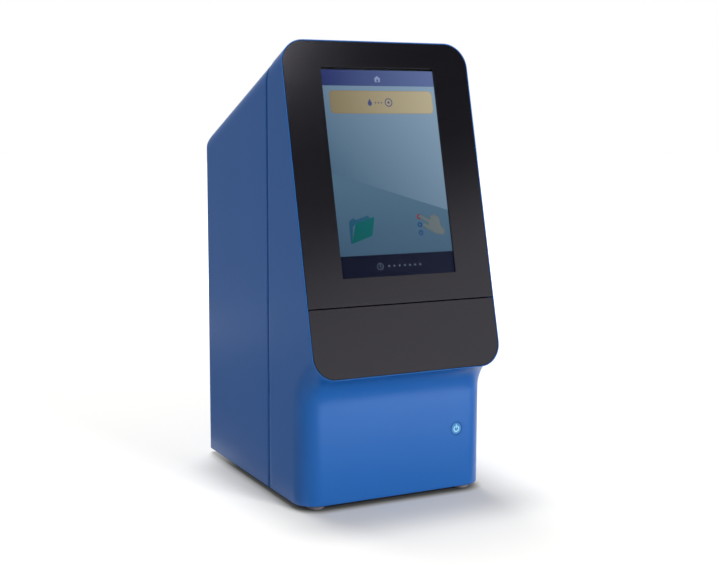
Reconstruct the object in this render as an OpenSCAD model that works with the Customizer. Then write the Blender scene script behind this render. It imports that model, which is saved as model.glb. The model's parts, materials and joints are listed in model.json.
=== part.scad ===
// Benchtop chemistry analyzer: a tall narrow case with a leaning touch screen,
// a sample drawer behind the lower black panel and a label printer under a lid on top.
// X is to the right seen from the front, the front faces -Y, Z is up, sizes in millimetres.

/* [Case] */
// Width of the case
body_w = 150; // [140:1:170]
// Depth from the nose to the rear wall
body_d = 208.5; // [200:0.5:230]
// Height to the top edge of the screen panel
body_h = 330; // [322:1:345]
// Lean of the screen panel from upright, in degrees
panel_tilt = 14; // [13:0.5:15]
// Fall of the top towards the rear, in degrees
slope_angle = 23; // [21:0.5:24]
// Height of the nose's lower edge
nose_z = 97.8; // [97:0.2:99]
// How far the nose stands out over the lower front
overhang = 20.5; // [18:0.5:22]
// Wall of the case shells
wall = 2.5; // [2:0.1:3]
// Radius of the long top edges
top_r = 18; // [12:1:20]
// Radius of the nose's lower corners
nose_r = 20; // [19:1:21]
// Radius of the upright front corners
corner_r = 16.5; // [12:0.5:18]
// Radius of the rear upright edges
rear_r = 4; // [3:0.5:6]
// Radius where the top meets the rear wall
rear_top_r = 25; // [18:1:30]
// Distance from the nose back to the groove between the shells
seam_from_nose = 83.65; // [80:0.5:90]
// Width of the groove between the shells
groove_w = 1.2; // [0.8:0.1:1.6]
// Step down from the front shell to the rear shell
shell_step = 0.4; // [0.2:0.1:0.6]
// Reach of the front shell's lip behind the groove
lip_reach = 4; // [3:0.5:6]
// Thickness of the lip
lip_t = 1; // [0.8:0.1:1.1]

/* [Panels] */
// Blue rim that frames the black panels
rim_w = 0.9; // [0.7:0.1:1.4]
// Gap between a black panel and its rim
panel_gap = 0.3; // [0.2:0.05:0.5]
// Thickness of the black panels
panel_t = 3; // [2.6:0.1:3.6]
// How far the black panels sit below the rim
panel_sink = 0.2; // [0:0.1:0.5]
// Height of the drawer front up the panel
drawer_face_h = 49.8; // [49.6:0.1:52]
// Width of the seam over the drawer front
seam_w = 0.9; // [0.5:0.1:1.2]
// Distance from the screen window to the case sides
win_side = 29.6; // [29:0.1:33]
// Distance down the panel to the window
win_down = 21.1; // [20:0.1:24]
// Black panel between the window and the seam
win_foot = 19.9; // [19.5:0.1:28]
// Lip of black panel over the edge of the touch glass
glass_lip = 2.5; // [2:0.1:3]
// Depth from the panel face to the glass face
glass_sink = 1.3; // [1:0.1:1.5]
// Thickness of the touch glass
glass_t = 1.1; // [0.7:0.1:1.2]
// Thickness of the display module
lcd_t = 4.8; // [4:0.1:5]
// Thickness of the steel frame behind the display
frame_t = 1.5; // [1:0.1:1.6]
// Height of the standoffs between that frame and its board
display_standoff_h = 3; // [2:0.1:3.5]

/* [Base] */
// Height of the feet
foot_h = 4; // [3:0.5:6]
// Radius of a foot
foot_r = 6.5; // [6:0.5:8]
// Distance of the feet from the case sides
foot_side = 15; // [14:0.5:19]
// Distance of the front feet behind the nose
foot_front = 31.5; // [31:0.5:36]
// Distance of the rear feet ahead of the rear wall
foot_rear = 16; // [14:0.5:20]
// Thickness of the base plate
base_t = 1.5; // [1.2:0.1:2]
// Height of the base plate over the case's lower edge
base_up = 0.5; // [0.3:0.1:1]
// Radius of the case screws
case_screw_r = 1.9; // [1.5:0.1:2.4]
// Length of the case screws over the base plate
case_screw_l = 11; // [8:1:14]
// Radius of the posts that take the case screws
post_r = 4.5; // [4:0.25:5]
// Height of those posts
post_h = 18; // [15:1:24]

/* [Button] */
// Distance of the power button from the right side
button_side = 25.3; // [25:0.1:29]
// Height of the power button
button_z = 48.1; // [44:0.1:52]
// Radius of the button cap
cap_r = 4.5; // [3.5:0.1:4.8]
// Outer radius of the bezel ring
bezel_r = 5.5; // [5.2:0.1:6]
// How far the button goes in
button_travel = 1; // [0.6:0.1:1.2]
// Radius of the switch plunger
plunger_r = 1.7; // [1.2:0.1:2]
// Width of the switch body
switch_w = 12; // [10:0.5:13]
// Distance from the front face back to the switch board
switch_back = 17.8; // [16:0.2:20]

/* [Drawer] */
// How far the drawer slides out
drawer_travel = 100; // [80:1:102]
// Distance of the tray's sides from the chassis plates
tray_side = 7.5; // [7.2:0.1:9]
// Height of the underside of the tray floor
tray_z = 108; // [107.5:0.1:108.5]
// Thickness of the tray floor
tray_t = 2.5; // [2:0.1:3]
// Height of the tray's side walls
tray_wall_h = 14; // [10:1:16]
// Wall of the tray
tray_wall = 2; // [1.6:0.1:2.4]
// Distance from the nose back to the tray's front wall
tray_front = 12.25; // [12:0.25:13]
// Distance of the tray's rear wall ahead of the chassis end
tray_rear = 30; // [26:0.5:32]
// Distance from the nose back to the rotor's axis
spindle_from_nose = 64.25; // [62:0.25:66]
// Radius of the sample rotor
rotor_r = 40; // [36:0.5:40]
// Thickness of the sample rotor
rotor_h = 14; // [10:0.5:15]
// Number of cuvettes in the rotor
cuvettes = 28; // [16:1:30]
// Radius of the chuck's hub
hub_r = 7.4; // [5:0.1:8]
// Radius of the spindle motor
spindle_motor_r = 18; // [14:0.5:18]
// Height of the spindle motor
spindle_motor_h = 6.6; // [5:0.1:6.6]
// Thickness of the drawer rails
rail_t = 4; // [3.5:0.1:4.5]
// Height of the drawer rails
rail_h = 12; // [11:0.5:14]
// Height of the runners
runner_h = 6; // [5:0.1:6.5]
// Sliding gap between runner and rail
slide_gap = 0.3; // [0.2:0.05:0.4]
// Pitch radius of the drive pinion
pinion_r = 9; // [9:0.5:10]
// Teeth of the drive pinion
pinion_teeth = 18; // [18:1:20]
// Distance of the pinion's axis from the tray's right side
pinion_side = 19.5; // [19.5:0.1:20.5]
// Distance from the nose back to the pinion's axis
pinion_from_nose = 52.25; // [50:0.25:54]
// Play between the teeth
tooth_play = 0.25; // [0.2:0.05:0.4]
// Width of the gear teeth
gear_w = 5.4; // [4:0.1:5.6]

/* [Frame and optics] */
// Distance of the chassis plates from the case sides
chassis_side = 10; // [9:0.5:11]
// Thickness of the chassis plates
chassis_t = 2; // [1.5:0.1:2.5]
// Distance of the chassis plates' top edge under the case's top
chassis_down = 130; // [124:1:134]
// Distance from the nose back to the chassis
chassis_front = 44.25; // [42:0.25:46]
// Distance from the chassis to the rear of the case
chassis_rear = 14.25; // [12.25:0.25:18]
// Height of the drawer deck
deck_z = 92; // [90:0.5:93]
// Thickness of the drawer deck
deck_t = 2; // [1.5:0.1:2.5]
// Height of the optical bench
bench_z = 146; // [144:0.5:150]
// Thickness of the optical bench
bench_t = 3; // [2:0.1:4]
// Size of the angle brackets
bracket_w = 8; // [6:0.5:9]
// Thickness of the heater platen
heater_t = 3.5; // [3:0.1:4.5]
// Gap between rotor and heater platen
heater_gap = 3; // [2:0.1:4]
// Radius of the lens barrel
barrel_r = 6.5; // [5:0.1:7]
// Distance of the light beam behind the rotor's axis
beam_back = 35; // [34:0.5:35.5]
// Distance of the optics block from the chassis plates
optics_side = 17; // [15:0.5:20]
// Height of the optics block
optics_h = 26; // [24:1:30]
// Number of beam splitters
splitters = 5; // [3:1:6]

/* [Electronics] */
// Height of the board standoffs
standoff_h = 6; // [5:0.5:10]
// Thickness of the circuit boards
board_t = 1.6; // [1.2:0.1:2]
// Distance of the main board from the case sides
main_side = 21; // [20.5:0.5:23]
// Length of the main board
main_l = 90; // [84:1:92]
// Width of the flash board
flash_w = 70; // [64:1:74]
// Length of the flash board
flash_l = 52; // [44:1:54]
// Radius of a flash capacitor
cap_can_r = 9; // [7:0.5:10]
// Height of a flash capacitor
cap_can_h = 30; // [20:1:40]
// Side of the square cooling fan
fan_w = 60; // [50:1:70]
// Depth of the cooling fan
fan_d = 15; // [12:0.5:20]
// Distance of the fan's axis under the case's top
fan_down = 130; // [125:1:135]
// Number of fan blades
fan_blades = 7; // [5:1:9]
// Number of slots in the fan grille
grille_slots = 9; // [7:2:13]

/* [Printer] */
// Width of the printer lid
lid_w = 84; // [80:0.5:86]
// Length of the printer lid down the slope
lid_l = 84; // [82:0.5:86]
// Distance along the slope from the groove to the lid
lid_from_seam = 9.5; // [9.5:0.5:12]
// Thickness of the printer lid
lid_t = 2.5; // [2:0.1:3]
// Radius of the lid's hinge barrel
barrel_hinge_r = 3.2; // [3:0.1:4]
// Paper slot in front of the lid
paper_slot = 3.5; // [3.4:0.1:4]
// Gap round the lid
lid_gap = 0.4; // [0.3:0.05:0.6]
// Radius of the lid's hinge pins
hinge_pin_r = 1.2; // [1:0.1:1.6]
// Radius of the rubber platen roller
platen_r = 4.5; // [4:0.1:5]
// Radius of the platen's steel shaft
platen_shaft_r = 1.5; // [1:0.1:2]
// Width of the paper roll
paper_w = 57; // [50:1:57]
// Radius of the paper roll
paper_r = 22; // [16:0.5:22]
// Radius of the roll's core
core_r = 6.5; // [5.5:0.1:8]
// Radius of the roll's spindle
spindle_r = 3; // [2:0.1:4]

/* [Hidden] */
$fn = 64;
// Larger than the case in any direction
far = 400;
// Extra length of the shapes that cut a whole face away
reach = 20;
// How far a cut runs past the face that it opens
over = 1;
// How far a solid sinks into the one that it grows from
sink = 0.5;
// Overlap that keeps joined solids whole
eps = 0.01;
// Clearance of a running fit, on the radius
run = 0.05;
// Clearance between two fixed pieces
fit = 0.2;
// Gap between flat pieces in a stack
thin_gap = 0.1;
// Ribs that tie a post to its wall
rib_t = 2;
// Screws of the drawer and the chassis, with their heads
screw_r = 1.5;
screw_l = 8;
screw_head_r = 2.8;
screw_head_h = 1.8;
// Screws of the display frame, with their heads
tiny_screw_r = 1.25;
tiny_screw_l = 5;
tiny_head_r = 2.2;
tiny_head_h = 1.5;
// Screws and heads that hold the circuit boards
board_screw_r = 1.4;
board_head_r = 2.6;
board_head_h = 1.6;
// Bosses for the display screws: radius, hole, and how far they stand outside the glass
display_boss_r = 3;
display_boss_hole = 4;
display_boss_side = 6.3;
display_boss_up = 1;
// How far the display frame stands out past the glass, across and up
frame_out = 10;
frame_out_up = 6;
// How far the display is set in from the glass, and its board, across and up
lcd_in = 0.5;
display_board_in = 6;
display_board_in_up = 27;
// Place of the board's screws in from its corners, and the radius of their standoffs
display_board_hole_in = 4;
display_standoff_r = 2.5;
display_standoff_hole_r = 1;
// Feet and case screws
foot_bevel = 1;
screw_sink = 2.2;
case_head_h = 1.6;
// Button: its flange, its play in the bezel, its board and the posts that carry that
cap_proud = 0.2;
cap_play = 0.12;
cap_flange = 0.7;
cap_flange_t = 1.4;
plunger_bite = 2.5;
switch_h = 5.5;
switch_board_w = 24;
switch_board_h = 18;
button_post_r = 2.2;
button_post_in = 2.5;
// Bosses of the drawer front, in from the tray's sides and over the rails' middle
boss_side = 17.5;
boss_up = 3;
boss_r = 4;
boss_hole = 6;
boss_bite = 3.5;
// Ring wall round the rotor, and openings in the tray
ring_gap = 2;
hub_gap = 1.6;
beam_r = 4;
beam_margin = 2;
cable_hole_r = 5;
cable_hole_x = 22;
cable_hole_in = 26;
// Runners at the tray's front and rear, and the web of the rails
runner_front = 4;
runner_rear = 18;
rail_web = 1.5;
rail_up = 4;
rail_short = 2;
// Gears: tooth proportions, shaft and rack
press_angle = 20;
addendum = 0.95;
rack_addendum = 0.9;
dedendum = 1.25;
gear_gap = 0.4;
gear_shaft_r = 2;
gear_shaft_in = 6;
rack_w = 3;
rack_low = 8;
rack_spare = 14;
gearbox_r = 12;
gearbox_h = 14;
drive_motor_r = 10;
drive_motor_h = 22;
// Spindle: shaft, chuck, and where the rotor sits over the tray floor
spindle_shaft_r = 2.5;
spindle_shaft_l = 10;
motor_floor = 1;
chuck_r = 14;
chuck_lift = 3;
chuck_gap = 0.5;
chuck_tip = 2;
// Rotor: share of its height at the rim, cuvettes, and the dish in its middle
rim_share = 0.6;
step_in = 12;
cuvette_l = 5;
cuvette_w = 3;
dish_in = 14;
dish_hub = 4;
dish_deep = 2;
// Chassis: foot flange, wiring holes, and how much shorter the deck and the bench are
flange_w = 10;
flange_end = 20;
wiring_r = 10;
wiring_in = 30;
wiring_up = 44;
deck_short = 30;
bench_short = 26;
// Screws and relief of the angle brackets along the chassis
bracket_first = 15;
bracket_last = 65;
bracket_land = 10;
bracket_tail = 25;
bracket_web = 2;
// Heater posts: ring, radius and studs, and the platen's rim past the rotor
heater_post_in = 10;
heater_post_r = 3;
heater_stud_r = 1.4;
heater_rim = 3;
// Lens barrel: flange, wall and gap over the heater
barrel_flange = 4;
barrel_flange_h = 3;
barrel_wall = 3;
barrel_gap = 1;
// Optics block: depth, walls, legs and height over the bench
optics_d = 28;
optics_wall = 5;
optics_pocket = 14;
optics_leg = 10;
optics_up = 11;
// Beam splitters and detectors
splitter_in = 13;
splitter_side = 10;
splitter_t = 1;
can_r = 4.2;
can_h = 4;
can_rim_r = 4.8;
can_rim_h = 1;
// Lamp housing, lamp and lens
lamp_w = 28;
lamp_h = 30;
lamp_floor = 2.5;
lamp_bore_r = 9;
lamp_bore_h = 24;
lamp_hole_r = 4.5;
lamp_base_r = 6;
lamp_base_h = 2.5;
bulb_r = 3.5;
bulb_h = 15;
lens_r = 6;
lens_t = 3;
lens_curve_r = 10;
// Boards: holes in from the corners, and the flash board's place and capacitors
main_hole_in = 6;
flash_hole_in = 5;
flash_from_main = 4;
flash_ahead = 12;
cap_can_in = 15;
cap_can_first = 14;
cap_can_pitch = 22;
cap_can_bevel = 1;
main_gap = 2.5;
standoff_r = 3;
// Heat sink on the main board
sink_w = 30;
sink_x = -21;
sink_in = 26;
sink_base = 3;
sink_h = 14;
sink_fins = 7;
fin_t = 1.2;
// Ports: window, plate, and how far they sit in from the rear face
window_low = 1;
window_h = 20;
plate_over = 4;
plate_t = 1;
plate_up = 0.3;
port_in = 5.5;
port_sink = 0.8;
port_depth = 13.2;
// Width, height and length of each port
network = [16, 13.5, 21];
usb = [15, 16, 18];
serial = [31, 12.5, 16];
power = [10, 11, 14];
// Network socket: side walls, opening and latch slot
network_wall = 1.8;
network_low = 2.2;
network_open_h = 8.3;
latch_w = 5;
latch_h = 2;
// USB sockets: walls, opening, pitch and tongue
usb_wall = 1;
usb_low = 1.4;
usb_open_h = 5.4;
usb_pitch = 7.6;
usb_tongue_low = 2.9;
usb_tongue_t = 1.7;
usb_tongue_in = 0.8;
usb_tongue_back = 2.2;
// Serial socket: half widths, half height, pins
serial_top = 8.5;
serial_bottom = 7;
serial_half = 4;
serial_depth = 6.2;
pin_r = 0.5;
pin_pitch = 2.7;
pin_row = 1.4;
pin_back = 1.2;
// Power inlet
inlet_r = 3.6;
inlet_pin_r = 1;
inlet_depth = 10.2;
// Fan: rim, ring, hub, spokes, shaft and screw holes
fan_rim = 3;
slot_share = 0.55;
fan_ring = 1.5;
fan_hub_r = 12;
fan_spoke_w = 3;
fan_spoke_t = 2.5;
fan_shaft_r = 1.5;
fan_hole_r = 2.1;
fan_hole_in = 5;
blade_t = 1.6;
blade_w = 15;
blade_pitch = 38;
blade_gap = 2.5;
fan_front_gap = 0.6;
fan_back_gap = 3.2;
// Ears and hinge of the printer lid
ear_w = 4;
ear_half = 4;
lid_pin_l = 12;
// Platen and its arms: place from the lid's front edge and under its face
platen_in = 7.5;
platen_deep = 8.1;
arm_in = 3;
arm_t = 2.5;
arm_low = 3.5;
arm_front = 4.5;
arm_rear = 5;
grip_w = 24;
grip_ribs = 3;
grip_pitch = 3;
grip_first = 4;
grip_t = 1;
grip_h = 0.6;
// Paper roll: place from the lid's front edge and under the shell
roll_in = 44.5;
roll_deep = 31;
bucket_gap = 2;
spindle_out = 4.5;
spool_in = 0.5;
// Printer frame: sides, floor and rim under the shell
frame_side = 10;
frame_front = 4;
frame_floor = 2.5;
frame_back = 4;
frame_rim = 6;
frame_rim_front = 8;
frame_rim_t = 1.6;
frame_rim_back = 5;
well_wall = 2;
well_gap = 1.2;
well_deep = 11;
well_back = 7.5;
lid_seat_front = 3;
lid_seat_back = 4;
// Print head and tear bar
head_gap = 0.3;
head_low = 10;
head_high = 2;
tear_teeth = 24;
tear_front = 3.2;
tear_t = 0.8;
tear_h = 1.6;
tooth_h = 0.9;
// Places and sizes that follow from those above
nose_y = -body_d / 2;
rear_y = body_d / 2;
front_y = nose_y + overhang;
inner_rear = rear_y + shell_step - wall;
panel_top_y = nose_y + (body_h - nose_z) * tan(panel_tilt);
panel_len = (body_h - nose_z) / cos(panel_tilt);
panel_back = panel_sink + panel_t;
seam_down = panel_len - drawer_face_h;
seam_y = nose_y + seam_from_nose;
win_w = body_w - 2 * win_side;
win_h = seam_down - win_down - win_foot;
glass_w = win_w + 2 * glass_lip;
glass_h = win_h + 2 * glass_lip;
glass_up = -win_down - win_h / 2;
glass_back = panel_sink + glass_sink + glass_t;
lcd_back = glass_back + thin_gap + lcd_t;
display_board_w = glass_w - 2 * display_board_in;
display_board_h = glass_h - 2 * display_board_in_up;
display_board_depth = lcd_back + frame_t + display_standoff_h;
base_z = foot_h + base_up;
floor_z = base_z + base_t;
foot_x = body_w / 2 - foot_side;
front_foot_y = nose_y + foot_front;
rear_foot_y = rear_y - foot_rear;
button_x = body_w / 2 - button_side;
button_back = front_y + wall;
cap_flange_r = bezel_r + cap_flange;
switch_y = front_y + switch_back;
chassis_half = body_w / 2 - chassis_side;
chassis_y = nose_y + chassis_front;
chassis_end = rear_y - chassis_rear;
chassis_l = chassis_end - chassis_y;
chassis_top = body_h - chassis_down;
tray_half = chassis_half - tray_side;
tray_y0 = nose_y + tray_front;
tray_y1 = chassis_end - tray_rear;
rail_z = tray_z + rail_up;
spindle_y = nose_y + spindle_from_nose;
chuck_z = tray_z + tray_t + chuck_lift;
rotor_top = chuck_z + rotor_h;
beam_y = spindle_y + beam_back;
pinion_x = tray_half - pinion_side;
pinion_y = nose_y + pinion_from_nose;
gear_top = tray_z - gear_gap;
gear_module = 2 * pinion_r / pinion_teeth;
heater_z = rotor_top + heater_gap;
heater_top = heater_z + heater_t;
bench_top = bench_z + bench_t;
optics_z = bench_top + optics_up;
optics_w = 2 * (chassis_half - optics_side);
splitter_pitch = (optics_w - 2 * splitter_in) / (splitters - 1);
lamp_z = deck_z - lamp_h + lamp_floor;
board_z = floor_z + standoff_h;
board_top = board_z + board_t;
main_w = body_w - 2 * main_side;
main_back = rear_y - wall - main_gap;
main_y = main_back - main_l / 2;
flash_x = (flash_w - main_w) / 2 + flash_from_main;
flash_front = chassis_y - flash_ahead;
flash_y = flash_front + flash_l / 2;
window_half = main_w / 2 - plate_over;
port_gap = (2 * (window_half - port_in) - network[0] - usb[0] - serial[0] - power[0]) / 3;
network_x = port_in - window_half;
usb_x = network_x + network[0] + port_gap;
serial_x = usb_x + usb[0] + port_gap;
power_x = serial_x + serial[0] + port_gap;
port_y = rear_y - port_sink;
fan_y = inner_rear - fan_d;
fan_z = body_h - fan_down;
lid_top = -shell_step;
lid_under = lid_top - lid_t;
shell_under = -wall - shell_step;
lid_down = (seam_y - panel_top_y) / cos(slope_angle) + lid_from_seam;
hinge_down = lid_down + lid_l - barrel_hinge_r;
hinge_up = lid_top - barrel_hinge_r;
platen_down = lid_down + platen_in;
platen_up = lid_top - platen_deep;
roll_down = lid_down + roll_in;
roll_up = shell_under - roll_deep;
bucket_r = paper_r + bucket_gap;
frame_w = paper_w + 2 * frame_side;
blue = [0.18, 0.36, 0.66];
black = [0.15, 0.15, 0.17];
steel = [0.72, 0.73, 0.75];
board_green = [0.10, 0.36, 0.22];

// Places children in the panel's frame: Y up along the panel, Z out of its face, zero at its top edge
module at_panel() {
    translate([0, panel_top_y, body_h]) rotate([90 - panel_tilt, 0, 0]) children();
}

// Places children in the top's frame: Y down the slope, Z out of it, zero at the panel's top edge
module at_slope() {
    translate([0, panel_top_y, body_h]) rotate([-slope_angle, 0, 0]) children();
}

// Extrudes a shape drawn in X and Z along Y, between two places
module along_y(from, to) {
    translate([0, to, 0]) rotate([90, 0, 0]) linear_extrude(to - from) children();
}

// Extrudes a shape drawn in Y and Z along X, centred
module along_x(w) {
    rotate([90, 0, 90]) linear_extrude(w, center = true) children();
}

// A cylinder along X, centred
module bar_x(r, l) {
    rotate([0, 90, 0]) cylinder(r = r, h = l, center = true);
}

// A cylinder along Y between two places
module rod_y(r, from, to) {
    translate([0, to, 0]) rotate([90, 0, 0]) cylinder(r = r, h = to - from);
}

// The same on the left and on the right
module both_sides() {
    children();
    mirror([1, 0, 0]) children();
}

// A box given by its low and high corners
module box(lo, hi) {
    translate(lo) cube(hi - lo);
}

// A rectangle from lo to hi with its two high corners rounded
module arch(w, lo, hi, r) {
    translate([-w / 2, lo]) square([w, hi - lo - r]);
    translate([-w / 2 + r, lo]) square([w - 2 * r, hi - lo]);
    for (s = [-1, 1]) translate([s * (w / 2 - r), hi - r]) circle(r);
}

// Flat plan of the lower case, set in by g
module plan(g) {
    mirror([0, 1]) arch(body_w - 2 * g, -far, -front_y - g, corner_r - g);
}

// The case's sloping top with its long rounded edges, set in by g
module slope_prism(g) {
    at_slope() along_y(-far, far) arch(body_w - 2 * g, -far, -g, top_r - g);
}

// The nose's section with its rounded lower corners, set in by g
module nose_prism(g) {
    along_y(nose_y - reach, seam_y + reach)
        mirror([0, 1]) arch(body_w - 2 * g, -far, -nose_z - g, nose_r - g);
}

// Section of the hollow curve under the nose: out is the direction away from the front face
module curve_section(depth, top, g) {
    difference() {
        translate([-overhang, nose_z - overhang]) square([overhang + depth, top - nose_z + overhang]);
        translate([-overhang, nose_z - overhang]) circle(overhang + g);
    }
}

// The hollow curve followed round the upright corners
module curve_round_block() {
    side = body_w / 2 - corner_r;
    translate([0, front_y, 0]) along_x(2 * side) curve_section(corner_r, nose_z + nose_r, 0);
    for (s = [0, 1]) mirror([s, 0, 0]) translate([side, front_y + corner_r, 0])
        rotate([0, 0, -90]) rotate_extrude(angle = 90) difference() {
            translate([0, nose_z - overhang]) square([corner_r + overhang, overhang + nose_r]);
            translate([corner_r + overhang, nose_z - overhang]) circle(overhang);
        }
}

// The hollow curve followed round the nose's lower corners
module curve_round_nose() {
    side = body_w / 2 - nose_r;
    translate([0, front_y, 0]) along_x(2 * side) curve_section(corner_r, nose_z + nose_r, 0);
    for (s = [0, 1]) mirror([s, 0, 0]) translate([side, front_y, nose_z + nose_r])
        rotate([-90, 0, 0]) rotate_extrude(angle = 90) difference() {
            translate([0, -overhang]) square([nose_r + overhang, overhang + corner_r]);
            translate([nose_r + overhang, -overhang]) circle(overhang);
        }
}

// Outer form of the front half, full size, cut by the panel's plane
module front_form() {
    intersection() {
        slope_prism(0);
        union() {
            nose_prism(0);
            linear_extrude(far) plan(0);
            intersection() {
                curve_round_block();
                curve_round_nose();
                box([-body_w / 2, -far, 0], [body_w / 2, far, far]);
            }
        }
        at_panel() box([-far, -far, -far], [far, far, 0]);
        box([-far, -far, foot_h], [far, seam_y - groove_w / 2, far]);
    }
}

// The front form set in by g, open to the front, the back and below
module front_hollow(g) {
    intersection() {
        slope_prism(g);
        union() {
            nose_prism(g);
            translate([0, 0, -over]) linear_extrude(far) plan(g);
            translate([0, front_y, 0]) along_x(body_w - 2 * nose_r - reach / 2)
                curve_section(corner_r, nose_z + nose_r / 2, g);
        }
        box([-far, -far, -over], [far, seam_y + reach, far]);
    }
}

// The space of the front form between two depths under the panel's face
module panel_layer(g, from, to) {
    intersection() {
        front_hollow(g);
        at_panel() box([-far, -far, -to], [far, far, -from]);
    }
}

// Form of the rear half, set in by g from the front shell's, with its floor at lo
module rear_form(g, lo) {
    back_y = rear_y + shell_step - g;
    arc_r = rear_top_r - g;
    arc_y = rear_y + shell_step - rear_top_r;
    arc_z = body_h - (arc_y - panel_top_y) * tan(slope_angle) - rear_top_r / cos(slope_angle);
    front_z = arc_z + arc_r / cos(slope_angle) + (arc_y + far) * tan(slope_angle);
    intersection() {
        slope_prism(g);
        along_x(body_w) {
            translate([arc_y, arc_z]) circle(arc_r);
            polygon([[-far, lo], [back_y, lo], [back_y, arc_z],
                [arc_y + arc_r * sin(slope_angle), arc_z + arc_r * cos(slope_angle)], [-far, front_z]]);
        }
        translate([0, 0, lo]) linear_extrude(far) arch(body_w - 2 * g, -far, back_y, rear_r - g / 2);
    }
}

// A post on the floor with a blind hole from below, on both sides
module case_post(x, y) {
    for (s = [-1, 1]) translate([s * x, y, floor_z + fit]) difference() {
        cylinder(r = post_r, h = post_h);
        translate([0, 0, -over]) cylinder(r = case_screw_r + run, h = case_screw_l + 2 * over);
    }
}

// Places children at the four feet
module at_feet() {
    for (s = [-1, 1], y = [front_foot_y, rear_foot_y]) translate([s * foot_x, y, 0]) children();
}

module front_shell() {
    color(blue) {
        difference() {
            front_form();
            front_hollow(wall);
            panel_layer(rim_w, -reach, panel_back + thin_gap);
            translate([button_x, 0, button_z]) rod_y(bezel_r + run, front_y - over, button_back + over);
        }
        intersection() {
            difference() {
                rear_form(wall - lip_t, foot_h);
                rear_form(wall, 0);
            }
            box([-far, seam_y - groove_w, foot_h], [far, seam_y + lip_reach, far]);
        }
        front_posts();
    }
}

// Posts of the front shell for the case screws, and the two that carry the button's board
module front_posts() {
    intersection() {
        case_post(foot_x, front_foot_y);
        linear_extrude(far) plan(wall / 2);
    }
    intersection() {
        both_sides() box([foot_x + post_r - over, front_foot_y - rib_t / 2, floor_z + fit],
            [far, front_foot_y + rib_t / 2, floor_z + fit + post_h]);
        linear_extrude(far) plan(wall / 2);
    }
    for (s = [-1, 1]) translate([button_x + s * (switch_board_w / 2 - button_post_in), 0, button_z])
        rod_y(button_post_r, button_back - sink, switch_y);
}

module rear_shell() {
    color(blue) difference() {
        union() {
            difference() {
                intersection() {
                    rear_form(shell_step, foot_h);
                    box([-far, seam_y + groove_w / 2, 0], [far, far, far]);
                }
                rear_form(wall, -over);
                intersection() {
                    rear_form(wall - lip_t - fit, -over);
                    box([-far, -far, -over], [far, seam_y + lip_reach + fit, far]);
                }
            }
            case_post(foot_x, rear_foot_y);
            both_sides() box([foot_x - rib_t / 2, rear_foot_y + post_r - over, floor_z + fit],
                [foot_x + rib_t / 2, inner_rear + sink, floor_z + fit + post_h]);
            lid_ears();
        }
        lid_opening();
        fan_grille();
        port_window();
        both_sides() at_slope() translate([lid_w / 2 + lid_gap, hinge_down, hinge_up])
            bar_x(hinge_pin_r + run, 2 * (ear_w - over));
    }
}

// Opening of the printer lid in the top
module lid_opening() {
    half = lid_w / 2 + lid_gap;
    at_slope() box([-half, lid_down - paper_slot, -reach], [half, lid_down + lid_l + lid_gap, reach]);
}

// Ears that hold the lid's hinge pins
module lid_ears() {
    both_sides() at_slope() box([lid_w / 2 + lid_gap, hinge_down - ear_half, hinge_up - ear_half],
        [lid_w / 2 + lid_gap + ear_w, hinge_down + ear_half, shell_under + over]);
}

// Slots in the rear wall behind the fan
module fan_grille() {
    open = fan_w - 2 * fan_rim;
    pitch = open / grille_slots;
    intersection() {
        for (i = [0 : grille_slots - 1]) translate([0, rear_y, fan_z + (i - (grille_slots - 1) / 2) * pitch])
            cube([fan_w, 4 * wall, pitch * slot_share], center = true);
        translate([0, 0, fan_z]) rod_y(open / 2, rear_y - 3 * wall, rear_y + wall);
    }
}

// Window for the ports in the rear wall
module port_window() {
    box([-window_half, rear_y - 3 * wall, board_top - window_low],
        [window_half, rear_y + over, board_top - window_low + window_h]);
}

module base_plate() {
    color(steel) difference() {
        translate([0, 0, base_z]) linear_extrude(base_t) intersection() {
            plan(wall + fit);
            arch(body_w - 2 * wall - 2 * fit, -far, inner_rear - fit, rear_r);
        }
        at_feet() cylinder(r = case_screw_r + fit, h = far);
    }
}

module rubber_feet() {
    color([0.46, 0.44, 0.47]) at_feet() difference() {
        union() {
            cylinder(r1 = foot_r - foot_bevel, r2 = foot_r, h = foot_bevel);
            translate([0, 0, foot_bevel]) cylinder(r = foot_r, h = base_z - foot_bevel);
        }
        translate([0, 0, -over]) cylinder(r = 2 * case_screw_r, h = screw_sink + over);
        cylinder(r = case_screw_r + fit, h = far);
    }
}

module case_screws() {
    color(steel) at_feet() {
        difference() {
            translate([0, 0, screw_sink - case_head_h]) cylinder(r = 2 * case_screw_r - fit, h = case_head_h);
            cylinder(r = case_screw_r / 2, h = screw_sink - case_head_h / 2, $fn = 6);
        }
        translate([0, 0, screw_sink - thin_gap])
            cylinder(r = case_screw_r, h = floor_z + case_screw_l - screw_sink + thin_gap);
    }
}

module fascia_panel() {
    color(black) {
        difference() {
            intersection() {
                panel_layer(rim_w + panel_gap, panel_sink, panel_back);
                at_panel() box([-far, -seam_down + seam_w / 2, -far], [far, far, far]);
            }
            at_panel() translate([0, glass_up, 0]) cube([win_w, win_h, reach], center = true);
            at_panel() translate([0, glass_up, -panel_sink - glass_sink - reach / 2])
                cube([glass_w + fit, glass_h + fit, reach], center = true);
        }
        at_panel() at_display_screws() difference() {
            translate([0, 0, -lcd_back]) cylinder(r = display_boss_r, h = lcd_back - panel_back + eps);
            translate([0, 0, -lcd_back - over])
                cylinder(r = tiny_screw_r + run, h = display_boss_hole + over);
        }
    }
}

// Six screw places round the display, in the panel's frame
module at_display_screws() {
    for (s = [-1, 1], v = [-1, 0, 1]) translate([s * (glass_w / 2 + display_boss_side),
        glass_up + v * (glass_h / 2 + display_boss_up), 0]) children();
}

module touch_glass() {
    color([0.45, 0.62, 0.72, 0.6]) at_panel() translate([0, glass_up, glass_t / 2 - glass_back])
        cube([glass_w - fit, glass_h - fit, glass_t], center = true);
}

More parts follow.
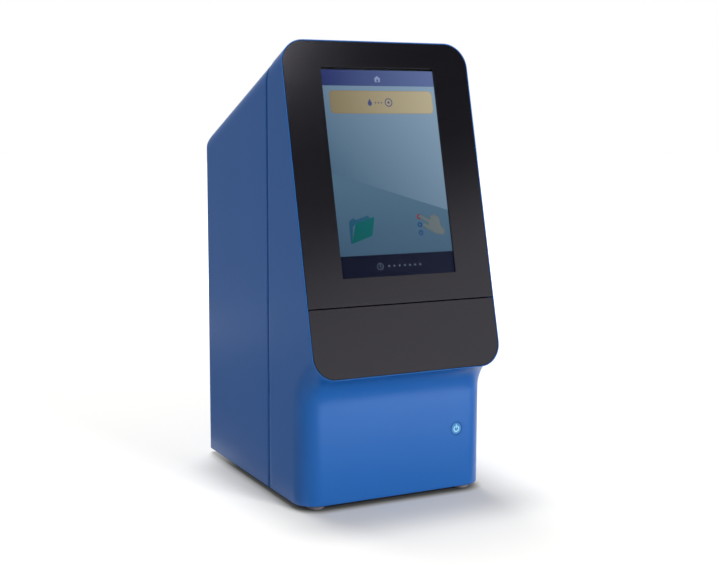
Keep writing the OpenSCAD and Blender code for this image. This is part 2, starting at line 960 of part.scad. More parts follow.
module lcd_module() {
    color([0.25, 0.35, 0.45]) at_panel() translate([0, glass_up, lcd_t / 2 - lcd_back])
        cube([glass_w - 2 * lcd_in, glass_h - 2 * lcd_in, lcd_t], center = true);
}

module display_frame() {
    color(steel) at_panel() difference() {
        union() {
            translate([0, glass_up, -lcd_back - frame_t / 2])
                cube([glass_w + 2 * frame_out, glass_h + 2 * frame_out_up, frame_t], center = true);
            at_board_corners() translate([0, 0, -display_board_depth])
                cylinder(r = display_standoff_r, h = display_standoff_h + sink);
        }
        at_display_screws() translate([0, 0, -far / 2]) cylinder(r = tiny_screw_r + fit, h = far);
        at_board_corners() translate([0, 0, -display_board_depth - over])
            cylinder(r = display_standoff_hole_r, h = display_standoff_h + over);
    }
}

// Corners of the display board, in the panel's frame
module at_board_corners() {
    for (s = [-1, 1], v = [-1, 1]) translate([s * (display_board_w / 2 - display_board_hole_in),
        glass_up + v * (display_board_h / 2 - display_board_hole_in), 0]) children();
}

module display_board() {
    color(board_green) at_panel() difference() {
        translate([0, glass_up, -display_board_depth - board_t / 2])
            cube([display_board_w, display_board_h, board_t], center = true);
        at_board_corners() translate([0, 0, -far / 2]) cylinder(r = display_standoff_hole_r + fit, h = far);
    }
}

// Screws of the display frame and of the chassis
module machine_screws() {
    color(steel) {
        at_panel() at_display_screws() {
            translate([0, 0, -lcd_back - frame_t - tiny_head_h]) cylinder(r = tiny_head_r, h = tiny_head_h);
            translate([0, 0, -lcd_back - frame_t - thin_gap]) cylinder(r = tiny_screw_r, h = tiny_screw_l);
        }
        both_sides() at_chassis_screws() {
            translate([chassis_t + screw_head_h / 2, 0, 0]) bar_x(screw_head_r, screw_head_h);
            translate([chassis_t + sink - screw_l / 2, 0, 0]) bar_x(screw_r, screw_l);
        }
    }
}

module drawer_front() {
    color(black) {
        intersection() {
            panel_layer(rim_w + panel_gap, panel_sink, panel_back);
            at_panel() box([-far, -far, -far], [far, -seam_down - seam_w / 2, far]);
        }
        difference() {
            intersection() {
                at_drawer_screws() rod_y(boss_r, nose_y, tray_y0);
                at_panel() box([-far, -far, -far], [far, far, eps - panel_back]);
            }
            at_drawer_screws() rod_y(screw_r + run, tray_y0 - boss_hole, tray_y0 + over);
        }
    }
}

// Screws that hold the drawer front, on both sides
module at_drawer_screws() {
    for (s = [-1, 1]) translate([s * (tray_half - boss_side), 0, rail_z + boss_up]) children();
}

module drawer_screws() {
    color(steel) at_drawer_screws() {
        rod_y(screw_r, tray_y0 - boss_bite, tray_y0 + tray_wall + thin_gap);
        rod_y(screw_head_r, tray_y0 + tray_wall, tray_y0 + tray_wall + screw_head_h);
    }
}

module drawer_tray() {
    top = tray_z + tray_wall_h;
    color([0.55, 0.56, 0.58]) difference() {
        union() {
            box([-tray_half, tray_y0, tray_z], [tray_half, tray_y1, tray_z + tray_t]);
            both_sides() box([tray_half - tray_wall, tray_y0, tray_z], [tray_half, tray_y1, top]);
            box([-tray_half, tray_y0, tray_z], [tray_half, tray_y0 + tray_wall, top]);
            box([-tray_half, tray_y1 - tray_wall, tray_z], [tray_half, tray_y1, top]);
            translate([0, spindle_y, tray_z]) difference() {
                cylinder(r = rotor_r + ring_gap + tray_wall, h = tray_wall_h - ring_gap);
                cylinder(r = rotor_r + ring_gap, h = far);
            }
        }
        translate([0, spindle_y, 0]) cylinder(r = hub_r + hub_gap, h = far);
        translate([0, beam_y, 0]) cylinder(r = beam_r, h = far);
        at_drawer_screws() rod_y(screw_r + fit, tray_y0 - over, tray_y0 + tray_wall + over);
        both_sides() translate([cable_hole_x, tray_y1 - cable_hole_in, 0])
            cylinder(r = cable_hole_r, h = far);
    }
}

module drawer_runners() {
    color(steel) both_sides() box([tray_half, tray_y0 + runner_front, rail_z - runner_h / 2],
        [chassis_half - rail_web - slide_gap, tray_y1 + runner_rear, rail_z + runner_h / 2]);
}

module drawer_rails() {
    groove = runner_h / 2 + slide_gap;
    color([0.62, 0.63, 0.65]) both_sides() difference() {
        box([chassis_half - rail_t, chassis_y, rail_z - rail_h / 2],
            [chassis_half, chassis_end - rail_short, rail_z + rail_h / 2]);
        box([chassis_half - rail_t - over, chassis_y - over, rail_z - groove],
            [chassis_half - rail_web, chassis_end, rail_z + groove]);
    }
}

// Outline of the drive pinion with true rolling flanks
function flank(rho) = acos(min(1, pinion_r * cos(press_angle) / rho));
function roll_angle(a) = tan(a) * 180 / PI - a;
function half_tooth(rho) = 90 / pinion_teeth - tooth_play * 45 / (PI * pinion_r)
    + roll_angle(press_angle) - roll_angle(flank(rho));
function at_angle(rho, a) = [rho * cos(a), rho * sin(a)];

module pinion_outline() {
    root = pinion_r - dedendum * gear_module;
    base = max(root, pinion_r * cos(press_angle));
    tip = pinion_r + addendum * gear_module;
    steps = 5;
    flanks = [for (i = [0 : steps]) base + (tip - base) * i / steps];
    polygon([for (k = [0 : pinion_teeth - 1]) let (mid = k * 360 / pinion_teeth) each concat(
        [at_angle(root, mid - half_tooth(base))],
        [for (rho = flanks) at_angle(rho, mid - half_tooth(rho))],
        [for (i = [steps : -1 : 0]) at_angle(flanks[i], mid + half_tooth(flanks[i]))],
        [at_angle(root, mid + half_tooth(base))])]);
}

module drawer_pinion() {
    color([0.85, 0.83, 0.76]) translate([pinion_x, pinion_y, 0]) {
        difference() {
            translate([0, 0, gear_top - gear_w]) linear_extrude(gear_w) pinion_outline();
            translate([0, 0, gear_top - gear_w - over]) cylinder(r = gear_shaft_r, h = gear_w + 2 * over);
        }
        translate([0, 0, deck_z - gear_shaft_in])
            cylinder(r = gear_shaft_r, h = gear_top - deck_z + gear_shaft_in);
    }
}

module drawer_rack() {
    pitch = PI * gear_module;
    pitch_x = pinion_x + pinion_r;
    slant = tan(press_angle);
    half = pitch / 4 - tooth_play / 2;
    tip = rack_addendum * gear_module;
    root = dedendum * gear_module;
    teeth = floor((drawer_travel + rack_spare) / pitch);
    low = gear_top - gear_w + fit;
    color([0.85, 0.83, 0.76]) translate([0, 0, low]) linear_extrude(tray_z - low) union() {
        translate([pitch_x + root - fit / 4, pinion_y - rack_low]) square([rack_w, teeth * pitch]);
        for (k = [0 : teeth - 1]) translate([pitch_x, pinion_y + (k - 1.5) * pitch])
            polygon([[-tip, tip * slant - half], [root, -root * slant - half],
                [root, half + root * slant], [-tip, half - tip * slant]]);
    }
}

module spindle_motor() {
    low = tray_z - spindle_motor_h;
    color([0.35, 0.36, 0.38]) translate([0, spindle_y, 0]) difference() {
        translate([0, 0, low]) cylinder(r = spindle_motor_r, h = spindle_motor_h);
        translate([0, 0, low + motor_floor]) cylinder(r = spindle_shaft_r + run, h = far);
    }
}

module spindle_chuck() {
    hub_top = chuck_z + rotor_h / 2;
    flange_z = tray_z + tray_t + chuck_gap;
    color(steel) translate([0, spindle_y, 0]) {
        translate([0, 0, tray_z - spindle_motor_h + 2 * motor_floor])
            cylinder(r = spindle_shaft_r, h = spindle_shaft_l);
        translate([0, 0, tray_z + chuck_gap]) cylinder(r = hub_r, h = hub_top - tray_z);
        translate([0, 0, flange_z]) cylinder(r = chuck_r, h = chuck_z - flange_z);
        translate([0, 0, hub_top + chuck_gap]) cylinder(r1 = hub_r, r2 = hub_r - chuck_tip, h = chuck_tip);
    }
}

module sample_rotor() {
    rim = rotor_h * rim_share;
    color([0.85, 0.9, 0.92, 0.5]) translate([0, spindle_y, chuck_z]) difference() {
        union() {
            cylinder(r = rotor_r, h = rim);
            cylinder(r = rotor_r - step_in, h = rotor_h);
        }
        translate([0, 0, -over]) cylinder(r = hub_r + run, h = far);
        for (i = [0 : cuvettes - 1]) rotate([0, 0, i * 360 / cuvettes + 90])
            translate([beam_back, 0, rim]) cube([cuvette_l, cuvette_w, 1.5 * rim], center = true);
        translate([0, 0, rotor_h - dish_deep]) difference() {
            cylinder(r = rotor_r - dish_in, h = dish_deep + over);
            translate([0, 0, -over]) cylinder(r = hub_r + dish_hub, h = far);
        }
    }
}

module drawer_deck() {
    color(steel) difference() {
        box([fit - chassis_half, chassis_y, deck_z],
            [chassis_half - fit, chassis_end - deck_short, deck_z + deck_t]);
        translate([0, beam_y, 0]) cylinder(r = beam_r + beam_margin, h = far);
        translate([pinion_x, pinion_y, 0]) cylinder(r = gear_shaft_r + sink, h = far);
    }
}

module drawer_motor() {
    color([0.4, 0.41, 0.43]) translate([pinion_x, pinion_y, deck_z - gearbox_h]) difference() {
        union() {
            cylinder(r = gearbox_r, h = gearbox_h);
            translate([0, 0, -drive_motor_h]) cylinder(r = drive_motor_r, h = drive_motor_h + over);
        }
        translate([0, 0, gearbox_h - gear_shaft_in - over]) cylinder(r = gear_shaft_r + run, h = far);
    }
}

// One side plate of the chassis with its foot flange and wiring holes
module chassis_plate() {
    hole_pitch = (chassis_l - 2 * wiring_in) / 2;
    difference() {
        union() {
            box([chassis_half, chassis_y, floor_z], [chassis_half + chassis_t, chassis_end, chassis_top]);
            box([chassis_half - flange_w, chassis_y + flange_end, floor_z],
                [chassis_half + eps, chassis_end - flange_end, floor_z + chassis_t]);
        }
        for (i = [0 : 2], z = [floor_z + wiring_up, chassis_top - wiring_in])
            translate([chassis_half, chassis_y + wiring_in + i * hole_pitch, z])
                bar_x(wiring_r, 3 * chassis_t);
        at_chassis_screws() bar_x(screw_r + fit, 4 * chassis_t);
    }
}

// Screws through a side plate into the angle brackets
module at_chassis_screws() {
    for (y = [chassis_y + bracket_first, chassis_end - bracket_last],
        z = [deck_z - bracket_w / 2, bench_z - bracket_w / 2]) translate([chassis_half, y, z]) children();
}

module chassis_left() {
    color([0.66, 0.67, 0.69]) mirror([1, 0, 0]) chassis_plate();
}

module chassis_right() {
    color([0.66, 0.67, 0.69]) chassis_plate();
}

module angle_brackets() {
    first = chassis_y + bracket_first;
    last = chassis_end - bracket_last;
    color([0.66, 0.67, 0.69]) both_sides() difference() {
        for (z = [deck_z, bench_z])
            box([chassis_half - bracket_w, first - bracket_land, z - bracket_w],
                [chassis_half, last + bracket_tail, z]);
        at_chassis_screws() bar_x(screw_r + run, 2 * (bracket_w - over));
        for (z = [deck_z, bench_z])
            box([chassis_half - bracket_w - over, first + bracket_land, z - bracket_w - over],
                [chassis_half - bracket_web, last - bracket_land, z - bracket_web]);
    }
}

module optical_bench() {
    color([0.3, 0.3, 0.32]) difference() {
        box([fit - chassis_half, chassis_y, bench_z],
            [chassis_half - fit, chassis_end - bench_short, bench_top]);
        translate([0, beam_y, 0]) cylinder(r = barrel_r + fit, h = far);
        at_heater_posts() cylinder(r = heater_stud_r + thin_gap, h = far);
    }
}

// Four places of the heater's posts, clear of the lens barrel
module at_heater_posts() {
    for (a = [-20, 60, 120, 200])
        translate([0, spindle_y, 0]) rotate([0, 0, a]) translate([rotor_r - heater_post_in, 0, 0]) children();
}

module heater_platen() {
    color([0.7, 0.71, 0.73]) difference() {
        translate([0, spindle_y, heater_z]) cylinder(r = rotor_r + heater_rim, h = heater_t);
        translate([0, beam_y, 0]) cylinder(r = beam_r + sink, h = far);
        translate([0, spindle_y, 0]) cylinder(r = hub_r + heater_rim, h = far);
    }
}

module heater_posts() {
    color(steel) at_heater_posts() {
        translate([0, 0, heater_top]) cylinder(r = heater_post_r, h = bench_z - heater_top);
        translate([0, 0, bench_z - over]) cylinder(r = heater_stud_r, h = bench_t + 2 * over);
    }
}

module lens_barrel() {
    color([0.2, 0.2, 0.22]) translate([0, beam_y, 0]) difference() {
        union() {
            translate([0, 0, heater_top + barrel_gap])
                cylinder(r = barrel_r, h = optics_z - heater_top - barrel_gap);
            translate([0, 0, bench_top]) cylinder(r = barrel_r + barrel_flange, h = barrel_flange_h);
        }
        cylinder(r = barrel_r - barrel_wall, h = far);
    }
}

module optics_block() {
    w = optics_w / 2;
    d = optics_d / 2;
    pocket = optics_pocket / 2;
    color([0.16, 0.16, 0.18]) difference() {
        union() {
            box([-w, beam_y - d, optics_z], [w, beam_y + d, optics_z + optics_h]);
            both_sides() box([w - optics_leg, beam_y - d, bench_top], [w, beam_y + d, optics_z + eps]);
        }
        box([optics_wall - w, beam_y - pocket, optics_z + optics_wall],
            [w - optics_wall, beam_y + pocket, far]);
        translate([0, beam_y, optics_z - over]) cylinder(r = barrel_r - barrel_wall, h = 2 * optics_wall);
    }
}

// Places children over the beam, once for each colour that is split off
module at_splitters() {
    for (i = [0 : splitters - 1])
        translate([(i - (splitters - 1) / 2) * splitter_pitch, beam_y, optics_z]) children();
}

module beam_splitters() {
    up = optics_wall + fit + (splitter_side + splitter_t) * sin(45) / 2;
    color([0.7, 0.85, 0.9, 0.6]) at_splitters() translate([0, 0, up])
        rotate([0, 45, 0]) cube([splitter_side, optics_pocket, splitter_t], center = true);
}

module detector_cans() {
    color(steel) at_splitters() translate([0, 0, optics_h - can_h - can_rim_h]) {
        cylinder(r = can_r, h = can_h);
        translate([0, 0, can_h]) cylinder(r = can_rim_r, h = can_rim_h);
    }
}

module detector_board() {
    color(board_green) box([-optics_w / 2, beam_y - optics_d / 2, optics_z + optics_h],
        [optics_w / 2, beam_y + optics_d / 2, optics_z + optics_h + board_t]);
}

module lamp_housing() {
    half = lamp_w / 2;
    color([0.2, 0.2, 0.22]) difference() {
        box([-half, beam_y - half, deck_z - lamp_h], [half, beam_y + half, deck_z]);
        translate([0, beam_y, lamp_z]) cylinder(r = lamp_bore_r, h = lamp_bore_h);
        translate([0, beam_y, lamp_z]) cylinder(r = lamp_hole_r, h = far);
        translate([0, beam_y, deck_z - lens_t]) cylinder(r = lens_r + run, h = far);
    }
}

module flash_lamp() {
    bulb_z = lamp_base_h + bulb_h;
    color([0.9, 0.92, 0.95, 0.7]) translate([0, beam_y, lamp_z]) {
        cylinder(r = lamp_base_r, h = lamp_base_h);
        translate([0, 0, lamp_base_h - thin_gap]) cylinder(r = bulb_r, h = bulb_h + thin_gap);
        translate([0, 0, bulb_z]) sphere(r = bulb_r);
    }
}

module lamp_lens() {
    color([0.8, 0.9, 0.95, 0.6]) translate([0, beam_y, deck_z - lens_t]) intersection() {
        cylinder(r = lens_r - run, h = lens_t);
        translate([0, 0, lens_t - lens_curve_r]) sphere(r = lens_curve_r);
    }
}

module flash_board() {
    color(board_green) difference() {
        translate([flash_x, flash_y, board_z + board_t / 2]) cube([flash_w, flash_l, board_t], center = true);
        at_flash_corners() cylinder(r = board_screw_r + thin_gap, h = far);
    }
}

module flash_capacitors() {
    x = flash_x - flash_w / 2 + cap_can_in;
    color([0.12, 0.13, 0.2]) for (i = [0, 1])
        translate([x, flash_front + cap_can_first + i * cap_can_pitch, board_top]) {
            cylinder(r = cap_can_r, h = cap_can_h);
            translate([0, 0, cap_can_h])
                cylinder(r1 = cap_can_r, r2 = cap_can_r - cap_can_bevel, h = cap_can_bevel);
        }
}

// Screw places at the corners of the flash board
module at_flash_corners() {
    for (s = [-1, 1], v = [-1, 1]) translate([flash_x + s * (flash_w / 2 - flash_hole_in),
        flash_y + v * (flash_l / 2 - flash_hole_in), 0]) children();
}

// Screw places at the corners of the main board
module at_main_corners() {
    for (s = [-1, 1], v = [-1, 1])
        translate([s * (main_w / 2 - main_hole_in), main_y + v * (main_l / 2 - main_hole_in), 0]) children();
}

module main_board() {
    color(board_green) difference() {
        translate([0, main_y, board_z + board_t / 2]) cube([main_w, main_l, board_t], center = true);
        at_main_corners() cylinder(r = board_screw_r + thin_gap, h = far);
    }
}

// Standoffs of both boards, with the screw heads on top
module board_standoffs() {
    color([0.78, 0.66, 0.36]) {
        at_main_corners() standoff();
        at_flash_corners() standoff();
    }
}

module standoff() {
    translate([0, 0, floor_z]) cylinder(r = standoff_r, h = standoff_h, $fn = 6);
    translate([0, 0, board_z - thin_gap]) cylinder(r = board_screw_r, h = board_t + 2 * thin_gap);
    translate([0, 0, board_top]) cylinder(r = board_head_r, h = board_head_h);
}

module heat_sink() {
    low = sink_x - sink_w / 2;
    pitch = (sink_w - fin_t) / (sink_fins - 1);
    y = main_back - main_l + sink_in;
    color([0.75, 0.76, 0.78]) union() {
        box([low, y - sink_w / 2, board_top], [low + sink_w, y + sink_w / 2, board_top + sink_base]);
        for (i = [0 : sink_fins - 1]) box([low + i * pitch, y - sink_w / 2, board_top + sink_base - thin_gap],
            [low + i * pitch + fin_t, y + sink_w / 2, board_top + sink_h]);
    }
}

module port_plate() {
    color(steel) difference() {
        box([-main_w / 2, inner_rear - plate_t, board_top + plate_up],
            [main_w / 2, inner_rear, board_top - window_low + window_h + plate_over]);
        port_box(network_x, network, fit);
        port_box(usb_x, usb, fit);
        port_box(serial_x, serial, fit);
        port_box(power_x, power, fit);
    }
}

// Outer box of a port from its left edge, grown by g
module port_box(x, size, g) {
    box([x - g, port_y - size[2], board_top - g], [x + size[0] + g, port_y, board_top + size[1] + g]);
}

module network_jack() {
    low = board_top + network_low;
    color(steel) difference() {
        port_box(network_x, network, 0);
        box([network_x + network_wall, port_y - port_depth, low],
            [network_x + network[0] - network_wall, rear_y, low + network_open_h]);
        box([network_x + (network[0] - latch_w) / 2, port_y - port_depth, low + over - latch_h],
            [network_x + (network[0] + latch_w) / 2, rear_y, low + over]);
    }
}

module usb_ports() {
    left = usb_x + usb_wall;
    right = usb_x + usb[0] - usb_wall;
    color(steel) difference() {
        port_box(usb_x, usb, 0);
        at_usb() box([left, port_y - port_depth, 0], [right, rear_y, usb_open_h]);
    }
    color("white") at_usb() box([left + usb_tongue_in, port_y - port_depth - sink, usb_tongue_low],
        [right - usb_tongue_in, port_y - usb_tongue_back, usb_tongue_low + usb_tongue_t]);
}

// The two sockets, one over the other
module at_usb() {
    for (i = [0, 1]) translate([0, 0, board_top + usb_low + i * usb_pitch]) children();
}

module serial_port() {
    mid = serial_x + serial[0] / 2;
    z = board_top + serial[1] / 2;
    color(steel) difference() {
        port_box(serial_x, serial, 0);
        translate([mid, 0, z]) along_y(port_y - serial_depth, rear_y)
            polygon([[-serial_top, serial_half], [serial_top, serial_half],
                [serial_bottom, -serial_half], [-serial_bottom, -serial_half]]);
    }
    color([0.8, 0.7, 0.3]) for (row = [0, 1], i = [0 : 4 - row])
        translate([mid + (i - (4 - row) / 2) * pin_pitch, 0, z + (1 - 2 * row) * pin_row])
            rod_y(pin_r, port_y - serial_depth - sink, port_y - pin_back);
}

module power_jack() {
    mid = power_x + power[0] / 2;
    color(black) difference() {
        port_box(power_x, power, 0);
        translate([mid, 0, board_top + power[1] / 2]) rod_y(inlet_r, port_y - inlet_depth, rear_y);
    }
    color(steel) translate([mid, 0, board_top + power[1] / 2])
        rod_y(inlet_pin_r, port_y - inlet_depth - sink, port_y - pin_back);
}

module fan_frame() {
    half = fan_w / 2;
    color(black) difference() {
        translate([0, fan_y + fan_d / 2, fan_z]) cube([fan_w, fan_d, fan_w], center = true);
        translate([0, 0, fan_z]) difference() {
            rod_y(half - fan_ring, fan_y - over, inner_rear + over);
            rod_y(fan_hub_r - over, inner_rear - fan_spoke_t, inner_rear);
            for (a = [45, 165, 285]) translate([0, inner_rear - fan_spoke_t / 2, 0]) rotate([0, a, 0])
                translate([half / 2, 0, 0]) cube([half + 2 * over, fan_spoke_t, fan_spoke_w], center = true);
        }
        for (sx = [-1, 1], sz = [-1, 1])
            translate([sx * (half - fan_hole_in), 0, fan_z + sz * (half - fan_hole_in)])
                rod_y(fan_hole_r, fan_y - over, inner_rear + over);
        translate([0, 0, fan_z]) rod_y(fan_shaft_r + run, fan_y + fan_spoke_t, inner_rear - over);
    }
}

module fan_rotor() {
    front = fan_y + fan_front_gap;
    back = fan_y + fan_d - fan_back_gap;
    tip_r = fan_w / 2 - blade_gap;
    blade_l = tip_r - fan_hub_r + 2 * sink;
    color([0.2, 0.2, 0.22]) translate([0, 0, fan_z]) {
        rod_y(fan_hub_r, front, back);
        rod_y(fan_shaft_r, fan_y + fan_spoke_t, inner_rear - over - sink);
        intersection() {
            for (i = [0 : fan_blades - 1]) rotate([0, i * 360 / fan_blades, 0])
                translate([fan_hub_r - over + blade_l, (front + back) / 2, 0]) rotate([blade_pitch, 0, 0])
                    cube([2 * blade_l, blade_t, blade_w], center = true);
            rod_y(tip_r, front + thin_gap, back - thin_gap);
        }
    }
}

module printer_frame() {
    top = shell_under;
    rim_z = top - frame_rim_t;
    front = lid_down - frame_front;
    back = roll_down + bucket_r + frame_back;
    half = frame_w / 2;
    rim = lid_w / 2 + frame_rim;
    bucket_half = paper_w / 2 + over;
    seat = lid_w / 2 + over;
    color([0.24, 0.24, 0.26]) at_slope() difference() {
        union() {
            box([-half, front, roll_up - bucket_r - frame_floor], [half, back, rim_z]);
            box([-rim, lid_down - frame_rim_front, rim_z - eps], [rim, hinge_down - frame_rim_back, top]);
        }
        box([-seat, lid_down + lid_seat_front, rim_z - over], [seat, hinge_down - lid_seat_back, top + over]);
        translate([0, roll_down, roll_up]) bar_x(bucket_r, 2 * bucket_half);
        box([-bucket_half, roll_down - bucket_r, roll_up], [bucket_half, roll_down + bucket_r, top + over]);
        box([well_wall - half, lid_down - well_gap, platen_up - well_deep],
            [half - well_wall, platen_down + well_back, top + over]);
        translate([0, roll_down, roll_up]) bar_x(spindle_r + run, paper_w + 2 * (spindle_out + sink));
    }
}

module print_head() {
    half = paper_w / 2 - sink;
    color([0.7, 0.71, 0.72]) at_slope() box([-half, lid_down - well_gap, platen_up - head_low],
        [half, platen_down - platen_r - head_gap, platen_up + head_high]);
}

module tear_bar() {
    front = lid_down - tear_front;
    low = -paper_w / 2 - sink;
    pitch = -2 * low / tear_teeth;
    tooth_z = shell_under + tear_h;
    color(steel) at_slope() {
        box([low, front, shell_under], [-low, front + tear_t, tooth_z]);
        translate([0, 0, tooth_z - eps]) along_y(front, front + tear_t)
            for (i = [0 : tear_teeth - 1]) translate([low + i * pitch, 0])
                polygon([[run, 0], [pitch - run, 0], [pitch / 2, tooth_h]]);
    }
}

module paper_roll() {
    color([0.95, 0.95, 0.93]) at_slope() translate([0, roll_down, roll_up]) difference() {
        bar_x(paper_r, paper_w);
        bar_x(core_r, paper_w + 2 * over);
    }
}

module roll_spindle() {
    color([0.5, 0.45, 0.4]) at_slope() translate([0, roll_down, roll_up]) {
        bar_x(spindle_r, paper_w + 2 * spindle_out);
        bar_x(core_r - run, paper_w - 2 * spool_in);
    }
}

module printer_lid() {
    half = lid_w / 2;
    arm = frame_w / 2 - arm_in;
    color(blue) at_slope() difference() {
        union() {
            box([-half, lid_down, lid_under], [half, hinge_down, lid_top]);
            translate([0, hinge_down, hinge_up]) bar_x(barrel_hinge_r, lid_w);
            both_sides() box([arm - arm_t, platen_down - arm_front, platen_up - arm_low],
                [arm, platen_down + arm_rear, lid_under + eps]);
            for (i = [0 : grip_ribs - 1]) translate([0, lid_down + grip_first + grip_pitch * i, lid_top])
                box([-grip_w / 2, 0, -eps], [grip_w / 2, grip_t, grip_h]);
        }
        translate([0, hinge_down, hinge_up]) bar_x(hinge_pin_r + run / 2, lid_w + 2 * over);
        translate([0, platen_down, platen_up]) bar_x(platen_shaft_r + run, frame_w);
    }
}

module lid_hinge_pins() {
    x = lid_w / 2 + ear_w - over - lid_pin_l / 2;
    color(steel) both_sides() at_slope() translate([x, hinge_down, hinge_up]) bar_x(hinge_pin_r, lid_pin_l);
}

module platen_roller() {
    at_slope() translate([0, platen_down, platen_up]) {
        color([0.16, 0.16, 0.16]) bar_x(platen_r, paper_w - 2 * spool_in);
        color(steel) bar_x(platen_shaft_r, frame_w - 2 * (arm_in + fit));
    }
}

module power_button() {
    flange = button_back + 2 * fit;
    color([0.35, 0.6, 0.8]) translate([button_x, 0, button_z]) {
        rod_y(cap_r, front_y - cap_proud, flange + eps);
        rod_y(cap_flange_r, flange, flange + cap_flange_t);
        rod_y(plunger_r, flange + cap_flange_t - eps, switch_y - plunger_bite - button_travel);
    }
}

module button_bezel() {
    color(blue) translate([button_x, 0, button_z]) difference() {
        rod_y(bezel_r, front_y, button_back);
        rod_y(cap_r + cap_play, front_y - over, button_back + over);
    }
}

module power_switch() {
    color(black) translate([button_x, 0, button_z]) difference() {
        translate([0, switch_y - switch_h / 2, 0]) cube([switch_w, switch_h, switch_w], center = true);
        rod_y(plunger_r + run, switch_y - switch_h - over, switch_y - plunger_bite + over);
    }
    color(board_green) translate([button_x, switch_y + board_t / 2, button_z])
        cube([switch_board_w, board_t, switch_board_h], center = true);
}

front_shell();
rear_shell();
base_plate();
rubber_feet();
case_screws();
fascia_panel();
touch_glass();
lcd_module();
display_frame();
display_board();
machine_screws();
drawer_front();
drawer_screws();
drawer_tray();
drawer_runners();
drawer_rack();
spindle_motor();
spindle_chuck();
sample_rotor();
drawer_rails();
drawer_deck();
drawer_motor();
drawer_pinion();
chassis_left();
chassis_right();
angle_brackets();
optical_bench();
heater_platen();
heater_posts();
lens_barrel();
optics_block();
beam_splitters();
detector_cans();
detector_board();
lamp_housing();
flash_lamp();
lamp_lens();
flash_board();
flash_capacitors();
main_board();
board_standoffs();
heat_sink();
port_plate();
network_jack();
usb_ports();
serial_port();
power_jack();
fan_frame();
fan_rotor();
printer_frame();
print_head();
tear_bar();
paper_roll();
roll_spindle();
printer_lid();
lid_hinge_pins();
platen_roller();
power_button();
button_bezel();
power_switch();
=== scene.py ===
import json
import random
from math import acos, atan2, cos, degrees, hypot, pi, radians, sin, tan, tau

import bmesh
import bpy
import numpy as np
from mathutils import Matrix, Quaternion, Vector


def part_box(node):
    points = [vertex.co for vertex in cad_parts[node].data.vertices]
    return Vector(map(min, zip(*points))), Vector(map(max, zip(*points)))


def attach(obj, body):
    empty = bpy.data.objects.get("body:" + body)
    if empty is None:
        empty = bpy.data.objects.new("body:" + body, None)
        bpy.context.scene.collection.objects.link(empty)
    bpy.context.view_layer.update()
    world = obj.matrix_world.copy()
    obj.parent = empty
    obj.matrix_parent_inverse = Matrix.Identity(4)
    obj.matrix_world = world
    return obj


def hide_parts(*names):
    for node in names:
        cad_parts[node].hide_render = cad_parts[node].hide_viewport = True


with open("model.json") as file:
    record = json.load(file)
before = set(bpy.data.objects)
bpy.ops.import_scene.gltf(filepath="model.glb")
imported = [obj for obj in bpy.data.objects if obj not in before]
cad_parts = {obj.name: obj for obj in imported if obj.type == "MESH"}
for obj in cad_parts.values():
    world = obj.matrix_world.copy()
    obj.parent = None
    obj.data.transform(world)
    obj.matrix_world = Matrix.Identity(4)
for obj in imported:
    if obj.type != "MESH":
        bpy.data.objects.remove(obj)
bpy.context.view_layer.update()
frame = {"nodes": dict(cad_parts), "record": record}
nodes = frame["nodes"]
scene = bpy.context.scene
random.seed(7)
print("frame loaded:", len(nodes), "nodes")

# camera, solved from the photo's edges: metres and degrees
cameraSetup = {
    "place": (-0.4277, -0.8639, 0.2786),
    "yaw": 26.94,
    "pitch": 7.72,
    "roll": 0.16,
    "lens": 63.42,
    "sensor": 36.0,
    "near": 0.05,
}


def placeCamera(setup):
    yaw, pitch, roll = (radians(setup[k]) for k in ("yaw", "pitch", "roll"))
    ahead = Vector((sin(yaw) * cos(pitch), cos(yaw) * cos(pitch), -sin(pitch)))
    right = Vector((cos(yaw), -sin(yaw), 0))
    up = right.cross(ahead)
    right, up = (
        cos(roll) * right + sin(roll) * up,
        cos(roll) * up - sin(roll) * right,
    )
    data = bpy.data.cameras.new("camera")
    data.lens = setup["lens"]
    data.sensor_width = setup["sensor"]
    data.clip_start = setup["near"]
    cam = bpy.data.objects.new("camera", data)
    scene.collection.objects.link(cam)
    turned = Matrix((right, up, -ahead)).transposed().to_4x4()
    cam.matrix_world = Matrix.Translation(setup["place"]) @ turned
    scene.camera = cam


placeCamera(cameraSetup)
scene.view_settings.view_transform = "Standard"
print("camera placed")


# short ways to build node trees
def addNode(tree, kind, **values):
    node = tree.nodes.new(kind)
    for key, value in values.items():
        if key in node.inputs:
            node.inputs[key].default_value = value
        else:
            setattr(node, key, value)
    return node


def emptyTree(holder):  # the cleared node tree of a material or the world, and its way to link
    holder.use_nodes = True
    holder.node_tree.nodes.clear()
    return holder.node_tree, holder.node_tree.links.new


def rgba(colour):
    return (colour[0], colour[1], colour[2], 1.0)


def calculate(tree, operation, *sources, kind="ShaderNodeMath"):  # one step; a source is a socket or a fixed value
    step = addNode(tree, kind, operation=operation)
    for source, socket in zip(sources, step.inputs):
        if isinstance(source, bpy.types.NodeSocket):
            tree.links.new(source, socket)
        else:
            socket.default_value = source
    return step.outputs[1 if operation in ("LENGTH", "DOT_PRODUCT") else 0]


def onVectors(tree, operation, *sources):
    return calculate(tree, operation, *sources, kind="ShaderNodeVectorMath")


def addTexture(tree, place, kind, **values):
    texture = addNode(tree, "ShaderNodeTex" + kind, **values)
    tree.links.new(place, texture.inputs["Vector"])
    return texture


def turnPlace(tree, place, **values):  # shifted or stretched texture places
    turned = addNode(tree, "ShaderNodeMapping", vector_type="POINT", **values)
    tree.links.new(place, turned.inputs["Vector"])
    return turned.outputs["Vector"]


def mapRange(tree, value, source=(0, 1), result=(0, 1), curve="LINEAR"):
    names = ("From Min", "From Max", "To Min", "To Max")
    node = addNode(tree, "ShaderNodeMapRange", interpolation_type=curve, **dict(zip(names, (*source, *result))))
    tree.links.new(value, node.inputs["Value"])
    return node.outputs["Result"]


